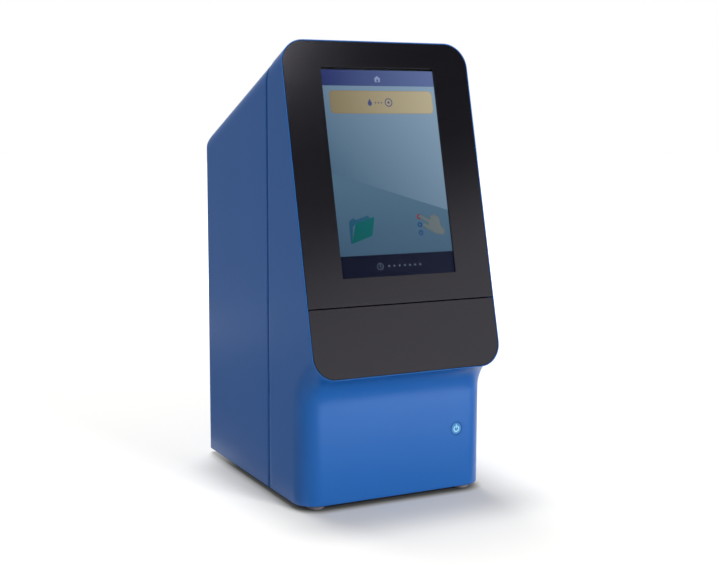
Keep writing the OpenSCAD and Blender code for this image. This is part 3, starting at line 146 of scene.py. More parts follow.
def mixColours(tree, factor, first, second):  # a colour between two, by a factor; either may be a socket
    mix = addNode(tree, "ShaderNodeMix", data_type="RGBA")
    tree.links.new(factor, mix.inputs[0])
    for socket, colour in ((mix.inputs[6], first), (mix.inputs[7], second)):  # the node's inputs A and B for colours
        if isinstance(colour, tuple):
            socket.default_value = rgba(colour)
        else:
            tree.links.new(colour, socket)
    return mix.outputs[2]


# studio: pale floor that shows white and keeps the shadow, with painted shadow under and in front of the
# body, white surroundings, soft lamps, dark flags and a bright card. Metres and degrees.
# Lamps and flags stand from the aim at an angle left of straight ahead, an angle up and a distance.
studio = {
    "floorSize": 6.0,
    "floorColour": (0.81, 0.80, 0.775),
    "underColour": (0.16, 0.16, 0.16),
    "floorLift": 0.32,
    "liftFrom": 0.45,
    "liftTo": 1.3,
    # painted shadow: the floor is darkened inside these boxes, under the body and in front of it
    "under": {"centre": (0, 0.0102), "half": (0.056, 0.075), "from": 0.013, "to": 0.026},
    "front": {"centre": (0, -0.03), "half": (0.06, 0.075), "from": 0.0, "to": 0.06},
    "room": 0.34,
    "lamps": {
        "keyLamp": {"from": (-16, 18, 1.6), "size": (0.5, 0.4), "watts": 15.5, "glossy": False},
        "topLamp": {"from": (175, 62, 1.7), "size": (0.9, 0.9), "watts": 18},
        "cornerLamp": {"from": (-14, 40, 1.0), "size": (0.14, 0.14), "watts": 0.8},
    },
    "flags": {
        "highFlag": {"from": (-24, 33, 1.4), "size": (1.6, 0.70), "roll": 12, "grey": 0.02},
        "leftFlag": {"from": (62, 0, 0.36), "size": (0.3, 0.4), "grey": 0.01},
        "backFlag": {"from": (150, 8, 0.7), "size": (0.8, 0.9), "grey": 0.30},
        "sideFloorFlag": {"flat": (-0.30, 0.22, 0.0004), "size": (0.42, 0.75), "grey": 0.22},
        "frontFloorFlag": {"flat": (0.12, -0.17, 0.0005), "size": (0.5, 0.16), "grey": 0.05},
        "frontCard": {"from": (-27, -14, 0.46), "size": (0.34, 0.09), "grey": 3.0},
        "rightFlag": {"from": (-92, 2, 0.6), "size": (0.8, 0.7), "grey": 0.03},
        "cameraFlag": {"from": (34, 16, 0.55), "size": (0.66, 0.95), "grey": 0.02},
        "cornerFloorFlag": {"flat": (-0.27, -0.29, 0.0006), "size": (0.40, 0.38), "grey": 0.02},
    },
    "aim": (0, 0, 0.16),
}


def shownRays(tree):  # 1 for the rays that show the surroundings: camera, glossy and transmission
    path = addNode(tree, "ShaderNodeLightPath")
    last = path.outputs["Is Camera Ray"]
    for kind in ("Is Glossy Ray", "Is Transmission Ray"):
        last = calculate(tree, "MAXIMUM", last, path.outputs[kind])
    return last


def beyondBox(tree, last, box):  # grows from 0 to 1 away from an upright box's outline on the floor
    for operation, *fixed in (("SUBTRACT", (*box["centre"], 0)), ("ABSOLUTE",), ("SUBTRACT", (*box["half"], 0)),
                              ("MAXIMUM", (0, 0, 0)), ("LENGTH",)):
        last = onVectors(tree, operation, last, *fixed)
    return mapRange(tree, last, (box["from"], box["to"]), curve="SMOOTHSTEP")


def addSheet(name, wide, high, mat):  # a flat rectangle round its own middle, by half its sides
    mesh = bpy.data.meshes.new(name)
    mesh.from_pydata([(-wide, -high, 0), (wide, -high, 0), (wide, high, 0), (-wide, high, 0)], [], [(0, 1, 2, 3)])
    mesh.materials.append(mat)
    sheet = bpy.data.objects.new(name, mesh)
    scene.collection.objects.link(sheet)
    return sheet


def buildFloor(setup):
    mat = bpy.data.materials.new("floorPaper")
    floor = addSheet("floor", setup["floorSize"], setup["floorSize"], mat)
    tree, link = emptyTree(mat)
    out = addNode(tree, "ShaderNodeOutputMaterial")
    paper = addNode(tree, "ShaderNodeBsdfDiffuse")
    glow = addNode(tree, "ShaderNodeEmission", Color=(1, 1, 1, 1))
    both = addNode(tree, "ShaderNodeAddShader")
    place = addNode(tree, "ShaderNodeTexCoord").outputs["Object"]
    # the lift grows away from the object, so that the far floor joins the white backdrop
    far = onVectors(tree, "LENGTH", place)
    grow = mapRange(tree, far, (setup["liftFrom"], setup["liftTo"]), (setup["floorLift"], 1), "SMOOTHSTEP")
    lift = calculate(tree, "MULTIPLY", grow, shownRays(tree))
    # painted shadow: a darker floor colour right under the body and no lift in front of it, so that the floor stays
    # dark there
    under, front = (beyondBox(tree, place, setup[key]) for key in ("under", "front"))
    link(mixColours(tree, under, setup["underColour"], setup["floorColour"]), paper.inputs["Color"])
    link(calculate(tree, "MULTIPLY", lift, front), glow.inputs["Strength"])
    link(paper.outputs[0], both.inputs[0])
    link(glow.outputs[0], both.inputs[1])
    link(both.outputs[0], out.inputs["Surface"])


def buildWorld(setup):
    scene.world = bpy.data.worlds.new("studio")
    tree, link = emptyTree(scene.world)
    out = addNode(tree, "ShaderNodeOutputWorld")
    room = addNode(tree, "ShaderNodeBackground", Color=(1, 1, 1, 1), Strength=setup["room"])
    white = addNode(tree, "ShaderNodeBackground", Color=(1, 1, 1, 1), Strength=1.0)
    pick = addNode(tree, "ShaderNodeMixShader")
    link(shownRays(tree), pick.inputs[0])
    link(room.outputs[0], pick.inputs[1])
    link(white.outputs[0], pick.inputs[2])
    link(pick.outputs[0], out.inputs["Surface"])


def standFacing(thing, spec, aim):  # the thing's -Z looks at the aim
    left, up, away = spec["from"]
    left, up = radians(left), radians(up)
    toward = Vector((-sin(left) * cos(up), -cos(left) * cos(up), sin(up)))
    thing.location = Vector(aim) + toward * away
    thing.rotation_mode = "QUATERNION"
    thing.rotation_quaternion = (-toward).to_track_quat("-Z", "Y")


def buildLamp(name, spec, aim):
    data = bpy.data.lights.new(name, "AREA")
    data.shape = "RECTANGLE"
    data.size, data.size_y = spec["size"]
    data.energy = spec["watts"]
    lamp = bpy.data.objects.new(name, data)
    lamp.visible_glossy = lamp.visible_transmission = spec.get("glossy", True)
    scene.collection.objects.link(lamp)
    standFacing(lamp, spec, aim)


def buildFlag(name, spec, aim):  # a card that only reflections see, also those through the screen's glass
    mat = bpy.data.materials.new(name)
    wide, high = spec["size"]
    flag = addSheet(name, wide / 2, high / 2, mat)
    for ray in ("camera", "diffuse", "shadow", "volume_scatter"):
        setattr(flag, "visible_" + ray, False)
    tree, link = emptyTree(mat)
    out = addNode(tree, "ShaderNodeOutputMaterial")
    card = addNode(tree, "ShaderNodeEmission", Color=(1, 1, 1, 1), Strength=spec["grey"])
    link(card.outputs[0], out.inputs["Surface"])
    if "flat" in spec:
        flag.location = spec["flat"]
    else:
        standFacing(flag, spec, aim)
        flag.rotation_quaternion @= Quaternion((0, 0, 1), radians(spec.get("roll", 0)))


buildFloor(studio)
buildWorld(studio)
for lampName, lampSpec in studio["lamps"].items():
    buildLamp(lampName, lampSpec, studio["aim"])
for flagName, flagSpec in studio["flags"].items():
    buildFlag(flagName, flagSpec, studio["aim"])
print("studio built")

# finishes: one per material slot and a few for small parts. Colours are linear, sizes in metres. A row holds the
# colour, the shade that it drifts to, the colour of worn edges (also a painted edge highlight), the roughness from
# and to, the scale of the grain, the height of its bumps and the scale of the drift. Cells and rings are texture
# scales too, and brush stretches the grain along an axis.
def coat(colour, shade, worn, rough, grain, bump, cloud, **more):
    return {"colour": colour, "shade": shade, "worn": worn, "rough": rough, "grain": grain, "bump": bump,
            "cloud": cloud, **more}


finishes = {
    "blueCase": coat((0.0095, 0.120, 0.430), (0.0085, 0.110, 0.405), (0.03, 0.18, 0.51), (0.32, 0.37), 2600, 12e-6, 14),
    "blackPanel": coat((0.0038, 0.0034, 0.0055), (0.0048, 0.0044, 0.0066), (0.02, 0.02, 0.024), (0.18, 0.23), 3200,
                       8e-6, 18, ior=1.56, gleam=(0.94, 0.90, 1.0)),
    "footRubber": coat((0.26, 0.24, 0.26), (0.20, 0.19, 0.20), (0.32, 0.30, 0.32), (0.7, 0.85), 1500, 3e-5, 60),
    "screenGlass": coat((0.97, 0.98, 0.98), (0.95, 0.97, 0.98), (0.9, 0.95, 0.95), (0.004, 0.014), 900, 1e-7, 25,
                        clear=1.0, ior=1.08),
    "display": coat((0.02, 0.02, 0.022), (0.012, 0.012, 0.014), (0.06, 0.06, 0.06), (0.4, 0.5), 1800, 6e-6, 30),
    "buttonPlastic": coat((0.055, 0.25, 0.58), (0.048, 0.225, 0.54), (0.16, 0.40, 0.72), (0.30, 0.38), 4000, 4e-6, 120),
    "greyPlastic": coat((0.30, 0.31, 0.33), (0.26, 0.27, 0.29), (0.42, 0.43, 0.45), (0.42, 0.55), 2400, 15e-6, 25),
    "clearPlastic": coat((0.90, 0.95, 0.96), (0.86, 0.92, 0.95), (0.95, 0.97, 0.98), (0.04, 0.12), 1200, 3e-6, 60,
                         clear=0.85, ior=1.46),
    "whitePlastic": coat((0.72, 0.71, 0.67), (0.66, 0.65, 0.60), (0.80, 0.79, 0.76), (0.38, 0.50), 2200, 1e-5, 40),
    "circuitBoard": coat((0.010, 0.10, 0.035), (0.008, 0.08, 0.028), (0.35, 0.30, 0.18), (0.28, 0.40), 2500, 6e-6, 60,
                         tracks=(0.022, 0.19, 0.06)),
    "darkPlastic": coat((0.018, 0.018, 0.020), (0.013, 0.013, 0.015), (0.06, 0.06, 0.065), (0.45, 0.58), 1800, 2e-5,
                        40),
    "blackAluminium": coat((0.035, 0.035, 0.038), (0.022, 0.022, 0.025), (0.45, 0.45, 0.46), (0.34, 0.46), 2000, 1e-5,
                           35, metal=0.6, wear=0.35),
    "bareAluminium": coat((0.68, 0.69, 0.71), (0.58, 0.59, 0.61), (0.85, 0.86, 0.88), (0.26, 0.40), 500, 1e-5, 30,
                          metal=1.0, brush=(0.04, 1, 1)),
    "platedSteel": coat((0.62, 0.61, 0.58), (0.50, 0.50, 0.49), (0.78, 0.78, 0.77), (0.22, 0.36), 900, 6e-6, 80,
                        metal=1.0),
    "zincSteel": coat((0.52, 0.54, 0.56), (0.38, 0.40, 0.42), (0.70, 0.71, 0.72), (0.34, 0.50), 700, 8e-6, 25,
                      metal=1.0, cells=170),
    "motorSteel": coat((0.30, 0.31, 0.33), (0.22, 0.23, 0.25), (0.60, 0.61, 0.62), (0.28, 0.40), 700, 8e-6, 50,
                       metal=1.0, brush=(1, 1, 0.05)),
    "lampGlass": coat((0.96, 0.97, 0.97), (0.92, 0.95, 0.96), (0.97, 0.98, 0.98), (0.01, 0.04), 700, 1e-6, 90,
                      clear=0.95, ior=1.46),
    "capacitorSleeve": coat((0.012, 0.016, 0.06), (0.009, 0.012, 0.045), (0.10, 0.11, 0.16), (0.22, 0.34), 900, 6e-6,
                            70),
    "brass": coat((0.72, 0.48, 0.17), (0.58, 0.38, 0.13), (0.90, 0.68, 0.32), (0.22, 0.34), 1200, 5e-6, 120, metal=1.0),
    "rollerRubber": coat((0.022, 0.021, 0.021), (0.015, 0.015, 0.015), (0.05, 0.05, 0.05), (0.65, 0.80), 1600, 2e-5,
                         60),
    "paper": coat((0.84, 0.83, 0.80), (0.78, 0.77, 0.74), (0.88, 0.87, 0.84), (0.65, 0.80), 2400, 1e-5, 200,
                  rings=True),
    "goldPlate": coat((0.86, 0.58, 0.20), (0.72, 0.46, 0.15), (0.95, 0.74, 0.35), (0.18, 0.28), 1500, 3e-6, 150,
                      metal=1.0),
    "chipBody": coat((0.020, 0.020, 0.022), (0.014, 0.014, 0.016), (0.06, 0.06, 0.06), (0.50, 0.62), 3000, 8e-6, 200),
    "ceramicPart": coat((0.42, 0.30, 0.16), (0.34, 0.24, 0.12), (0.6, 0.6, 0.58), (0.40, 0.52), 2500, 4e-6, 300),
    "creamNylon": coat((0.66, 0.60, 0.44), (0.58, 0.52, 0.38), (0.75, 0.70, 0.56), (0.42, 0.55), 2000, 8e-6, 100),
    "reagent": coat((0.80, 0.62, 0.20), (0.62, 0.30, 0.12), (0.85, 0.7, 0.35), (0.25, 0.40), 1500, 5e-6, 160,
                    cells=220),
    "sealFoil": coat((0.74, 0.75, 0.77), (0.60, 0.61, 0.64), (0.85, 0.86, 0.88), (0.20, 0.34), 600, 3e-5, 90,
                     metal=1.0),
    "greenLens": coat((0.04, 0.42, 0.08), (0.03, 0.34, 0.06), (0.2, 0.6, 0.25), (0.15, 0.25), 1500, 3e-6, 200),
    "amberLens": coat((0.62, 0.26, 0.02), (0.52, 0.20, 0.02), (0.8, 0.45, 0.15), (0.15, 0.25), 1500, 3e-6, 200),
}
# edges take the worn colour: partly rubbed wear and partly a painted edge highlight
wornAndHighlitEdges = {"radius": 0.0006, "samples": 4, "limits": (0.995, 0.90), "amount": 0.5}
boardTracks = {"Scale": 1000.0, "Mortar Size": 0.11, "Brick Width": 7.3, "Row Height": 1.27, "Mortar Smooth": 0.1}
woundPaper = {"scale": 190.0, "distortion": 0.6, "dark": 0.86}
# the lit parts of the screen and the button: a colour at each of two places, across and down in mm on the panel
glows = {
    # painted reflection: the picture's upper part, lighter towards the upper right like a reflection in the glass
    "skyGlow": ((-40, 100), (46, 30), (0.066, 0.128, 0.200), (0.250, 0.352, 0.466)),
    "groundGlow": ((-44, 150), (-32.8, 104.6), (0.046, 0.0965, 0.160), (0.0755, 0.144, 0.216)),
    "headerGlow": ((-44, 28), (46, 27), (0.024, 0.035, 0.136), (0.114, 0.156, 0.325)),
    "footerGlow": ((-40, 166), (46, 156), (0.0026, 0.0042, 0.0157), (0.0083, 0.0112, 0.0287)),
    "buttonGlow": ((-38, 51), (42, 37), (0.222, 0.184, 0.108), (0.468, 0.400, 0.262)),
    "buttonLine": ((-38, 51), (42, 37), (0.230, 0.150, 0.060), (0.420, 0.320, 0.170)),
    "inkGlow": ((-38, 51), (42, 37), (0.050, 0.062, 0.170), (0.080, 0.098, 0.230)),
    "paleGlow": ((-38, 28), (42, 27), (0.200, 0.240, 0.420), (0.300, 0.350, 0.520)),
    "dimGlow": ((-38, 160), (42, 158), (0.105, 0.130, 0.190), (0.135, 0.165, 0.230)),
    "folderBackGlow": ((-35, 145), (-15, 126), (0.014, 0.070, 0.125), (0.020, 0.095, 0.165)),
    "folderGlow": ((-34, 145), (-15, 127), (0.006, 0.092, 0.092), (0.006, 0.108, 0.118)),
    "handGlow": ((22, 141), (43, 127), (0.105, 0.138, 0.150), (0.150, 0.172, 0.178)),
    "handEdge": ((22, 141), (43, 127), (0.060, 0.095, 0.125), (0.080, 0.115, 0.145)),
    "redGlow": ((20, 130), (24, 126), (0.210, 0.030, 0.040), (0.250, 0.045, 0.050)),
    "ringGlow": ((20, 141), (24, 132), (0.012, 0.055, 0.165), (0.014, 0.062, 0.180)),
    "symbolGlow": ((46, 225), (53, 219), (0.50, 0.84, 0.92), (0.60, 0.92, 0.98)),
}
glass = {"colour": (0.002, 0.002, 0.003), "ior": 1.12, "rough": (0.30, 0.40), "grain": 3000.0, "bump": 1e-6}
madeFinishes = {}


def addSurface(tree, shader, rough, roughBy, bump, bumpBy, normal=None):  # roughness and fine bumps by two textures
    tree.links.new(mapRange(tree, roughBy, result=rough), shader.inputs["Roughness"])
    rise = addNode(tree, "ShaderNodeBump", Strength=1.0, Distance=bump)
    tree.links.new(bumpBy, rise.inputs["Height"])
    if normal:
        tree.links.new(normal, rise.inputs["Normal"])
    tree.links.new(rise.outputs[0], shader.inputs["Normal"])


def buildFinish(look, tree, link, shader, place):
    for key, value in (("Metallic", look.get("metal", 0.0)), ("IOR", look.get("ior", 1.5)),
                       ("Transmission Weight", look.get("clear", 0.0)),
                       ("Specular Tint", rgba(look.get("gleam", (1, 1, 1))))):
        shader.inputs[key].default_value = value
    cloud = addTexture(tree, place, "Noise", Scale=look["cloud"], Detail=4.0, Roughness=0.55)
    stretched = turnPlace(tree, place, Scale=look.get("brush", (1, 1, 1)))
    grain = addTexture(tree, stretched, "Noise", Scale=look["grain"], Detail=2.0, Roughness=0.5)
    tone = mixColours(tree, cloud.outputs["Fac"], look["colour"], look["shade"])
    if "cells" in look:  # zinc flakes, or separate beads
        cells = addTexture(tree, place, "Voronoi", Scale=look["cells"])
        tone = mixColours(tree, cells.outputs["Color"], look["colour"], look["shade"])
    if "tracks" in look:  # copper under the green mask
        tracks = addTexture(tree, place, "Brick", **boardTracks)
        tone = mixColours(tree, tracks.outputs["Fac"], tone, look["tracks"])
    if "rings" in look:  # the edges of wound paper
        low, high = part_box("paper_roll")
        centred = turnPlace(tree, place, Location=tuple(-(low + high) / 2))
        rings = addTexture(tree, centred, "Wave", wave_type="RINGS", rings_direction="X",
                           Scale=woundPaper["scale"], Distortion=woundPaper["distortion"])
        dark = tuple(woundPaper["dark"] * c for c in look["shade"])
        tone = mixColours(tree, rings.outputs["Fac"], tone, dark)
    # worn edges, which also paint a slight highlight: the edge colour where the rounded normal leaves the flat one
    rounded = addNode(tree, "ShaderNodeBevel", Radius=wornAndHighlitEdges["radius"])
    rounded.samples = wornAndHighlitEdges["samples"]
    flat = addNode(tree, "ShaderNodeNewGeometry")
    along = onVectors(tree, "DOT_PRODUCT", rounded.outputs[0], flat.outputs["Normal"])
    edge = mapRange(tree, along, wornAndHighlitEdges["limits"], (0.0, look.get("wear", wornAndHighlitEdges["amount"])))
    link(mixColours(tree, edge, tone, look["worn"]), shader.inputs["Base Color"])
    normal = None if look.get("clear") else rounded.outputs[0]
    addSurface(tree, shader, look["rough"], cloud.outputs["Fac"], look["bump"], grain.outputs["Fac"], normal)


def buildGlow(look, tree, link, shader, place):
    for key, value in (("Base Color", rgba(glass["colour"])), ("Emission Strength", 1.0), ("IOR", glass["ior"])):
        shader.inputs[key].default_value = value
    start, end = (onPanel(*at, screen["face"]) for at in look[:2])
    way = (end - start) / (end - start).length_squared
    along = onVectors(tree, "DOT_PRODUCT", onVectors(tree, "SUBTRACT", place, start), way)
    link(mixColours(tree, along, *look[2:]), shader.inputs["Emission Color"])
    grain = addTexture(tree, place, "Noise", Scale=glass["grain"], Detail=2.0).outputs["Fac"]
    addSurface(tree, shader, glass["rough"], grain, glass["bump"], grain)


def makeFinish(name):  # each material is built once
    if name not in madeFinishes:
        mat = madeFinishes[name] = bpy.data.materials.new(name)
        tree, link = emptyTree(mat)
        out = addNode(tree, "ShaderNodeOutputMaterial")
        shader = addNode(tree, "ShaderNodeBsdfPrincipled")
        place = addNode(tree, "ShaderNodeTexCoord").outputs["Object"]
        build, look = (buildGlow, glows[name]) if name in glows else (buildFinish, finishes[name])
        build(look, tree, link, shader, place)
        link(shader.outputs[0], out.inputs["Surface"])
    return madeFinishes[name]


def slotFinish(slotName):  # the finish named as the slot: circuit_board takes circuitBoard
    first, *others = slotName.split("_")
    return first + "".join(word.capitalize() for word in others)


slotOf = {s["node"]: s["material_slot"] for s in frame["record"]["subparts"]}
for nodeName, nodeObject in nodes.items():
    nodeObject.data.materials.clear()
    nodeObject.data.materials.append(makeFinish(slotFinish(slotOf[nodeName])))
print("finishes made:", len(madeFinishes))


# pieces: every new mesh takes a finish and rides on a body; its slot's name gives the finish where no other is given
def makePiece(name, bm, slotName, body, *standsFor, kinds=None, smooth=None):
    mesh = bpy.data.meshes.new(name)
    bm.to_mesh(mesh)
    bm.free()
    piece = bpy.data.objects.new(name, mesh)
    scene.collection.objects.link(piece)
    if smooth is not None:
        mesh.shade_smooth()
        mesh.set_sharp_from_angle(angle=radians(smooth))
    for kind in kinds or [slotFinish(slotName)]:
        mesh.materials.append(makeFinish(kind))
    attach(piece, body)
    if standsFor:
        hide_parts(*standsFor)


# places on the object, from millimetres: on the panel (across, down its face, depth under it)
# and on the sloping top (across, down the slope, up out of it). Both planes pass through one edge.
edgeY, edgeZ = -46.36, 330.0
tilt, slope = radians(14.0), radians(23.0)


def metres(x, y, z):
    return Vector((x, y, z)) / 1000


def onPanel(across, down, depth):
    y = edgeY - down * sin(tilt) + depth * cos(tilt)
    return metres(across, y, edgeZ - down * cos(tilt) - depth * sin(tilt))


def onSlope(across, down, up):
    y = edgeY + down * cos(slope) + up * sin(slope)
    return metres(across, y, edgeZ - down * sin(slope) + up * cos(slope))


# meshes: low and high are corners in millimetres, and put places points on the object
def addBlock(bm, low, high, bevel=0.0, put=None):
    made = bmesh.ops.create_cube(bm, size=1.0)["verts"]
    for v in made:
        v.co = Vector([(low[k] + high[k]) / 2 + v.co[k] * (high[k] - low[k]) for k in range(3)])
    if bevel:
        edges = {e for v in made for e in v.link_edges}
        made = bmesh.ops.bevel(bm, geom=list(edges), offset=bevel, segments=2, profile=0.5, affect="EDGES")["verts"]
    for v in made:
        v.co = put(*v.co) if put else v.co / 1000


def joinRows(bm, rows, closed=True, smooth=True):  # faces between rows of vertices; a row of one is a pole
    for one, two in zip(rows, rows[1:]):
        count = max(len(one), len(two))
        for k in range(count if closed else count - 1):
            loop = [one[k % len(one)], one[(k + 1) % len(one)], two[(k + 1) % len(two)], two[k % len(two)]]
            loop = list(dict.fromkeys(loop))
            if len(loop) > 2:
                bm.faces.new(loop).smooth = smooth


def circle(steps, r=1.0):  # points round a circle
    return [(r * cos(k * tau / steps), r * sin(k * tau / steps)) for k in range(steps)]


def addTurned(bm, profile, steps, put, closed=False):  # a turned form from (radius, along); put takes across, along, up
    rows = [[bm.verts.new(put(a, along, b)) for a, b in (circle(steps, r) if r else [(0, 0)])] for r, along in profile]
    joinRows(bm, rows + rows[:1] if closed else rows)


def closedLine(bm, verts):
    return [bm.edges.new((verts[k - 1], verts[k])) for k in range(len(verts))]


def fillOutline(bm, edges):  # flat faces between closed lines
    made = bmesh.ops.triangle_fill(bm, edges=edges, use_beauty=True, use_dissolve=False)
    return [f for f in made["geom"] if isinstance(f, bmesh.types.BMFace)]


def addMesh(bm, other):  # takes the other one's faces in and frees it
    mesh = bpy.data.meshes.new("part")
    other.to_mesh(mesh)
    other.free()
    bm.from_mesh(mesh)
    bpy.data.meshes.remove(mesh)


def faceOutwards(bm):
    bmesh.ops.recalc_face_normals(bm, faces=bm.faces)


def smoothStep(x, start, end):
    t = np.clip((x - start) / (end - start), 0, 1)
    return t * t * (3 - 2 * t)


# front shell: a smooth skin over the shell's own inner faces, so that the nose flows into the block. Millimetres.
shell = {
    "half": 75.0, "face": -83.75, "foot": 4.0, "seam": -22.2,
    "nose": 97.8, "overhang": 20.5,  # the underside of the nose, and the turn from there into the block
    "fuller": 2.5, "fullerAt": (50.0, 70.0),  # how much rounder that turn gets towards the sides, and where
    "topRound": 18.0, "noseRound": 17.0, "blockRound": 16.5,
    "soften": (66.0, 122.0), "softRound": 1.6, "sharpRound": 0.01,  # the heights where the side edge is softened
    "rim": 0.7, "rimDeep": 1.6, "edge": 0.3, "seamEdge": 0.5, "seamTurns": (0.4, 0.8, 1.2, pi / 2),
    "seamDeep": 1.4, "dip": (-27.0, 1.2),  # where the dip to the seam starts, and its depth
    "counts": (22, 14, 46, 34, 26), "turnSteps": 25, "rows": 54, "relax": 24, "firstTurns": 10, "turns": 3,
    "step": 0.01, "least": 0.05,
}
solidShell = {  # the same places on the CAD's own shell, and what is taken off or drawn under the skin
    "noseRound": 20.0, "seam": -21.2, "close": 0.05, "flat": 0.02, "outer": -0.6, "under": 0.3, "underPanel": 0.7,
}
panelLong = (edgeZ - shell["nose"]) / cos(tilt)
outPanel = np.array([0, -cos(tilt), sin(tilt)])
turnAngles = np.radians(np.linspace(0, 90, shell["turnSteps"]))
turnAcross, turnUp = np.sin(turnAngles), np.cos(turnAngles)


def roundedCut(a, b, r):  # two distances joined as a rounded outer corner
    return np.minimum(np.maximum(a, b), -r) + np.hypot(np.maximum(a + r, 0), np.maximum(b + r, 0))


def shellDistance(p, noseRound=shell["noseRound"], fuller=shell["fuller"]):
    # how far points stand outside the front form, without the panel's cut
    x, y, z = np.abs(p[:, 0]), p[:, 1], p[:, 2]
    r, side = shell["overhang"] + fuller * smoothStep(x, *shell["fullerAt"]), x - shell["half"]
    a = roundedCut(shell["face"] - y, side, shell["blockRound"])
    b = roundedCut(shell["nose"] - z, side, noseRound)
    lower = np.maximum(r, np.minimum(a, b)) - np.hypot(np.maximum(r - a, 0), np.maximum(r - b, 0))
    low, high = shell["soften"]
    t = np.clip((z - low) / (high - low), 0, 1)
    lower = roundedCut(lower, side, shell["sharpRound"] + shell["softRound"] * (4 * t * (1 - t)) ** 2)
    above = (y - edgeY) * sin(slope) + (z - edgeZ) * cos(slope)
    return np.maximum(lower, roundedCut(above, side, shell["topRound"]))


def unit(vectors):
    return vectors / np.maximum(np.linalg.norm(vectors, axis=-1, keepdims=True), 1e-9)


def shellNormal(p):
    steps = np.eye(3) * shell["step"]
    return unit(np.stack([shellDistance(p + d) - shellDistance(p - d) for d in steps], 1))


def settle(p, keep=None, turns=6):  # moves points onto the skin, inside the plane with normal keep if given
    for _ in range(turns):
        n = shellNormal(p)
        if keep is not None:
            n = n - (n * keep).sum(1, keepdims=True) * keep
        p = p - shellDistance(p)[:, None] * n / np.maximum((n * n).sum(1, keepdims=True), shell["least"])
    return p


def spread(points, count):  # the same line in count even steps
    along = np.concatenate([[0], np.cumsum(np.linalg.norm(np.diff(points, axis=0), axis=1))])
    at = np.linspace(0, along[-1], count)
    return np.stack([np.interp(at, along, points[:, k]) for k in range(3)], 1)


def joinLines(lines, counts):  # one line through several, each in its own count of steps
    parts = [spread(line, count) for line, count in zip(lines, counts)]
    return np.concatenate([parts[0]] + [part[1:] for part in parts[1:]])


def crossLines(y):  # the outside across the body at one depth: top, corner and side
    half, r = shell["half"], shell["topRound"]
    z, high = edgeZ - (y - edgeY) * tan(slope), r / cos(slope)
    turn = np.stack([half - r + r * turnAcross, np.full(len(turnUp), y), z - high + high * turnUp], 1)
    return (np.array([[0, y, z], [half - r, y, z]], float), turn,
            np.array([[half, y, z - high], [half, y, shell["foot"]]], float))


def rimLine():  # half of the outline round the panel, from the middle of the top to the middle below
    half, rT, rN = shell["half"], shell["topRound"], shell["noseRound"]
    low = rN - panelLong
    lines = [([0, half - rT], [0, 0]), (half - rT + rT * turnAcross, -rT + rT * turnUp), ([half, half], [-rT, low]),
             (half - rN + rN * turnAcross[::-1], low - rN * turnUp[::-1]), ([half - rN, 0], [-panelLong, -panelLong])]
    flat = []
    for us, vs in lines:
        us, vs = np.asarray(us, float), np.asarray(vs, float)
        flat.append(np.stack([us, edgeY + vs * sin(tilt), edgeZ + vs * cos(tilt)], 1))
    return joinLines(flat, shell["counts"])


def outerLine():  # half of the shell's edge along the seam and the foot, and which way it faces there
    half, foot, face, r, seam = (shell[k] for k in ("half", "foot", "face", "blockRound", "seam"))
    turn = np.stack([half - r + r * turnAcross[::-1], face + r - r * turnUp[::-1], np.full(len(turnUp), foot)], 1)
    base = np.array([[half - r, face, foot], [0, face, foot]], float)
    line = joinLines([*crossLines(seam), np.concatenate([[[half, seam, foot]], turn]), base], shell["counts"])
    below = line[:, 2] < foot + 1e-6
    return line, np.where(below[:, None], [[0.0, 0.0, -1.0]], [[0.0, 1.0, 0.0]])


def skinRows():
    rim = settle(rimLine(), keep=outPanel)
    edge, edgeOut = outerLine()
    inward = -shellNormal(rim)
    inward = unit(inward - (inward @ outPanel)[:, None] * outPanel)
    wide, r, turn = shell["rim"], shell["edge"], shell["seamEdge"]
    rows = [rim + inward * a - outPanel * b for a, b in (
        (wide, shell["rimDeep"]), (wide, r / 2), (wide - r / 2, 0), (r, 0), (0.3 * r, 0.3 * r))]
    first = settle(rim - outPanel * r, keep=outPanel)
    last = settle(edge - edgeOut * turn)
    last = np.where(np.abs(edgeOut) > 0.5, edge - edgeOut * turn, last)
    count = shell["rows"]
    grid = np.stack([first + (last - first) * k / (count - 1) for k in range(count)])
    shape = grid.shape
    grid = settle(grid.reshape(-1, 3), turns=shell["firstTurns"]).reshape(shape)
    for _ in range(shell["relax"]):
        calm = grid.copy()
        calm[1:-1, 1:-1] = (grid[:-2, 1:-1] + grid[2:, 1:-1] + grid[1:-1, :-2] + grid[1:-1, 2:]) / 4
        for end in (0, -1):
            calm[1:-1, end] = (grid[:-2, end] + grid[2:, end]) / 2
        calm[:, [0, -1], 0] = 0
        grid[1:-1] = settle(calm[1:-1].reshape(-1, 3), turns=shell["turns"]).reshape(calm[1:-1].shape)
    rows += list(grid)
    n = shellNormal(last)
    rows += [last + edgeOut * turn * sin(a) - n * turn * (1 - cos(a)) for a in shell["seamTurns"]]
    rows.append(last + edgeOut * turn - n * shell["seamDeep"])
    rows = np.stack(rows)
    # the skin dips a little towards the seam, so that the rear shell's rolled edge shows
    start, deep = shell["dip"]
    sunk = shellNormal(rows.reshape(-1, 3)).reshape(rows.shape)
    return rows - sunk * (deep * smoothStep(rows[..., 1], start, shell["seam"]))[..., None]


# the hole for the button: its place and radius, how far the skin is opened and mended round it, and its wall
buttonHole = {"centre": (49.7, 48.1), "radius": 5.55, "opened": 0.6, "mended": 8.0, "deep": 2.0, "steps": 64,
              "close": 0.1, "inside": 0.98}


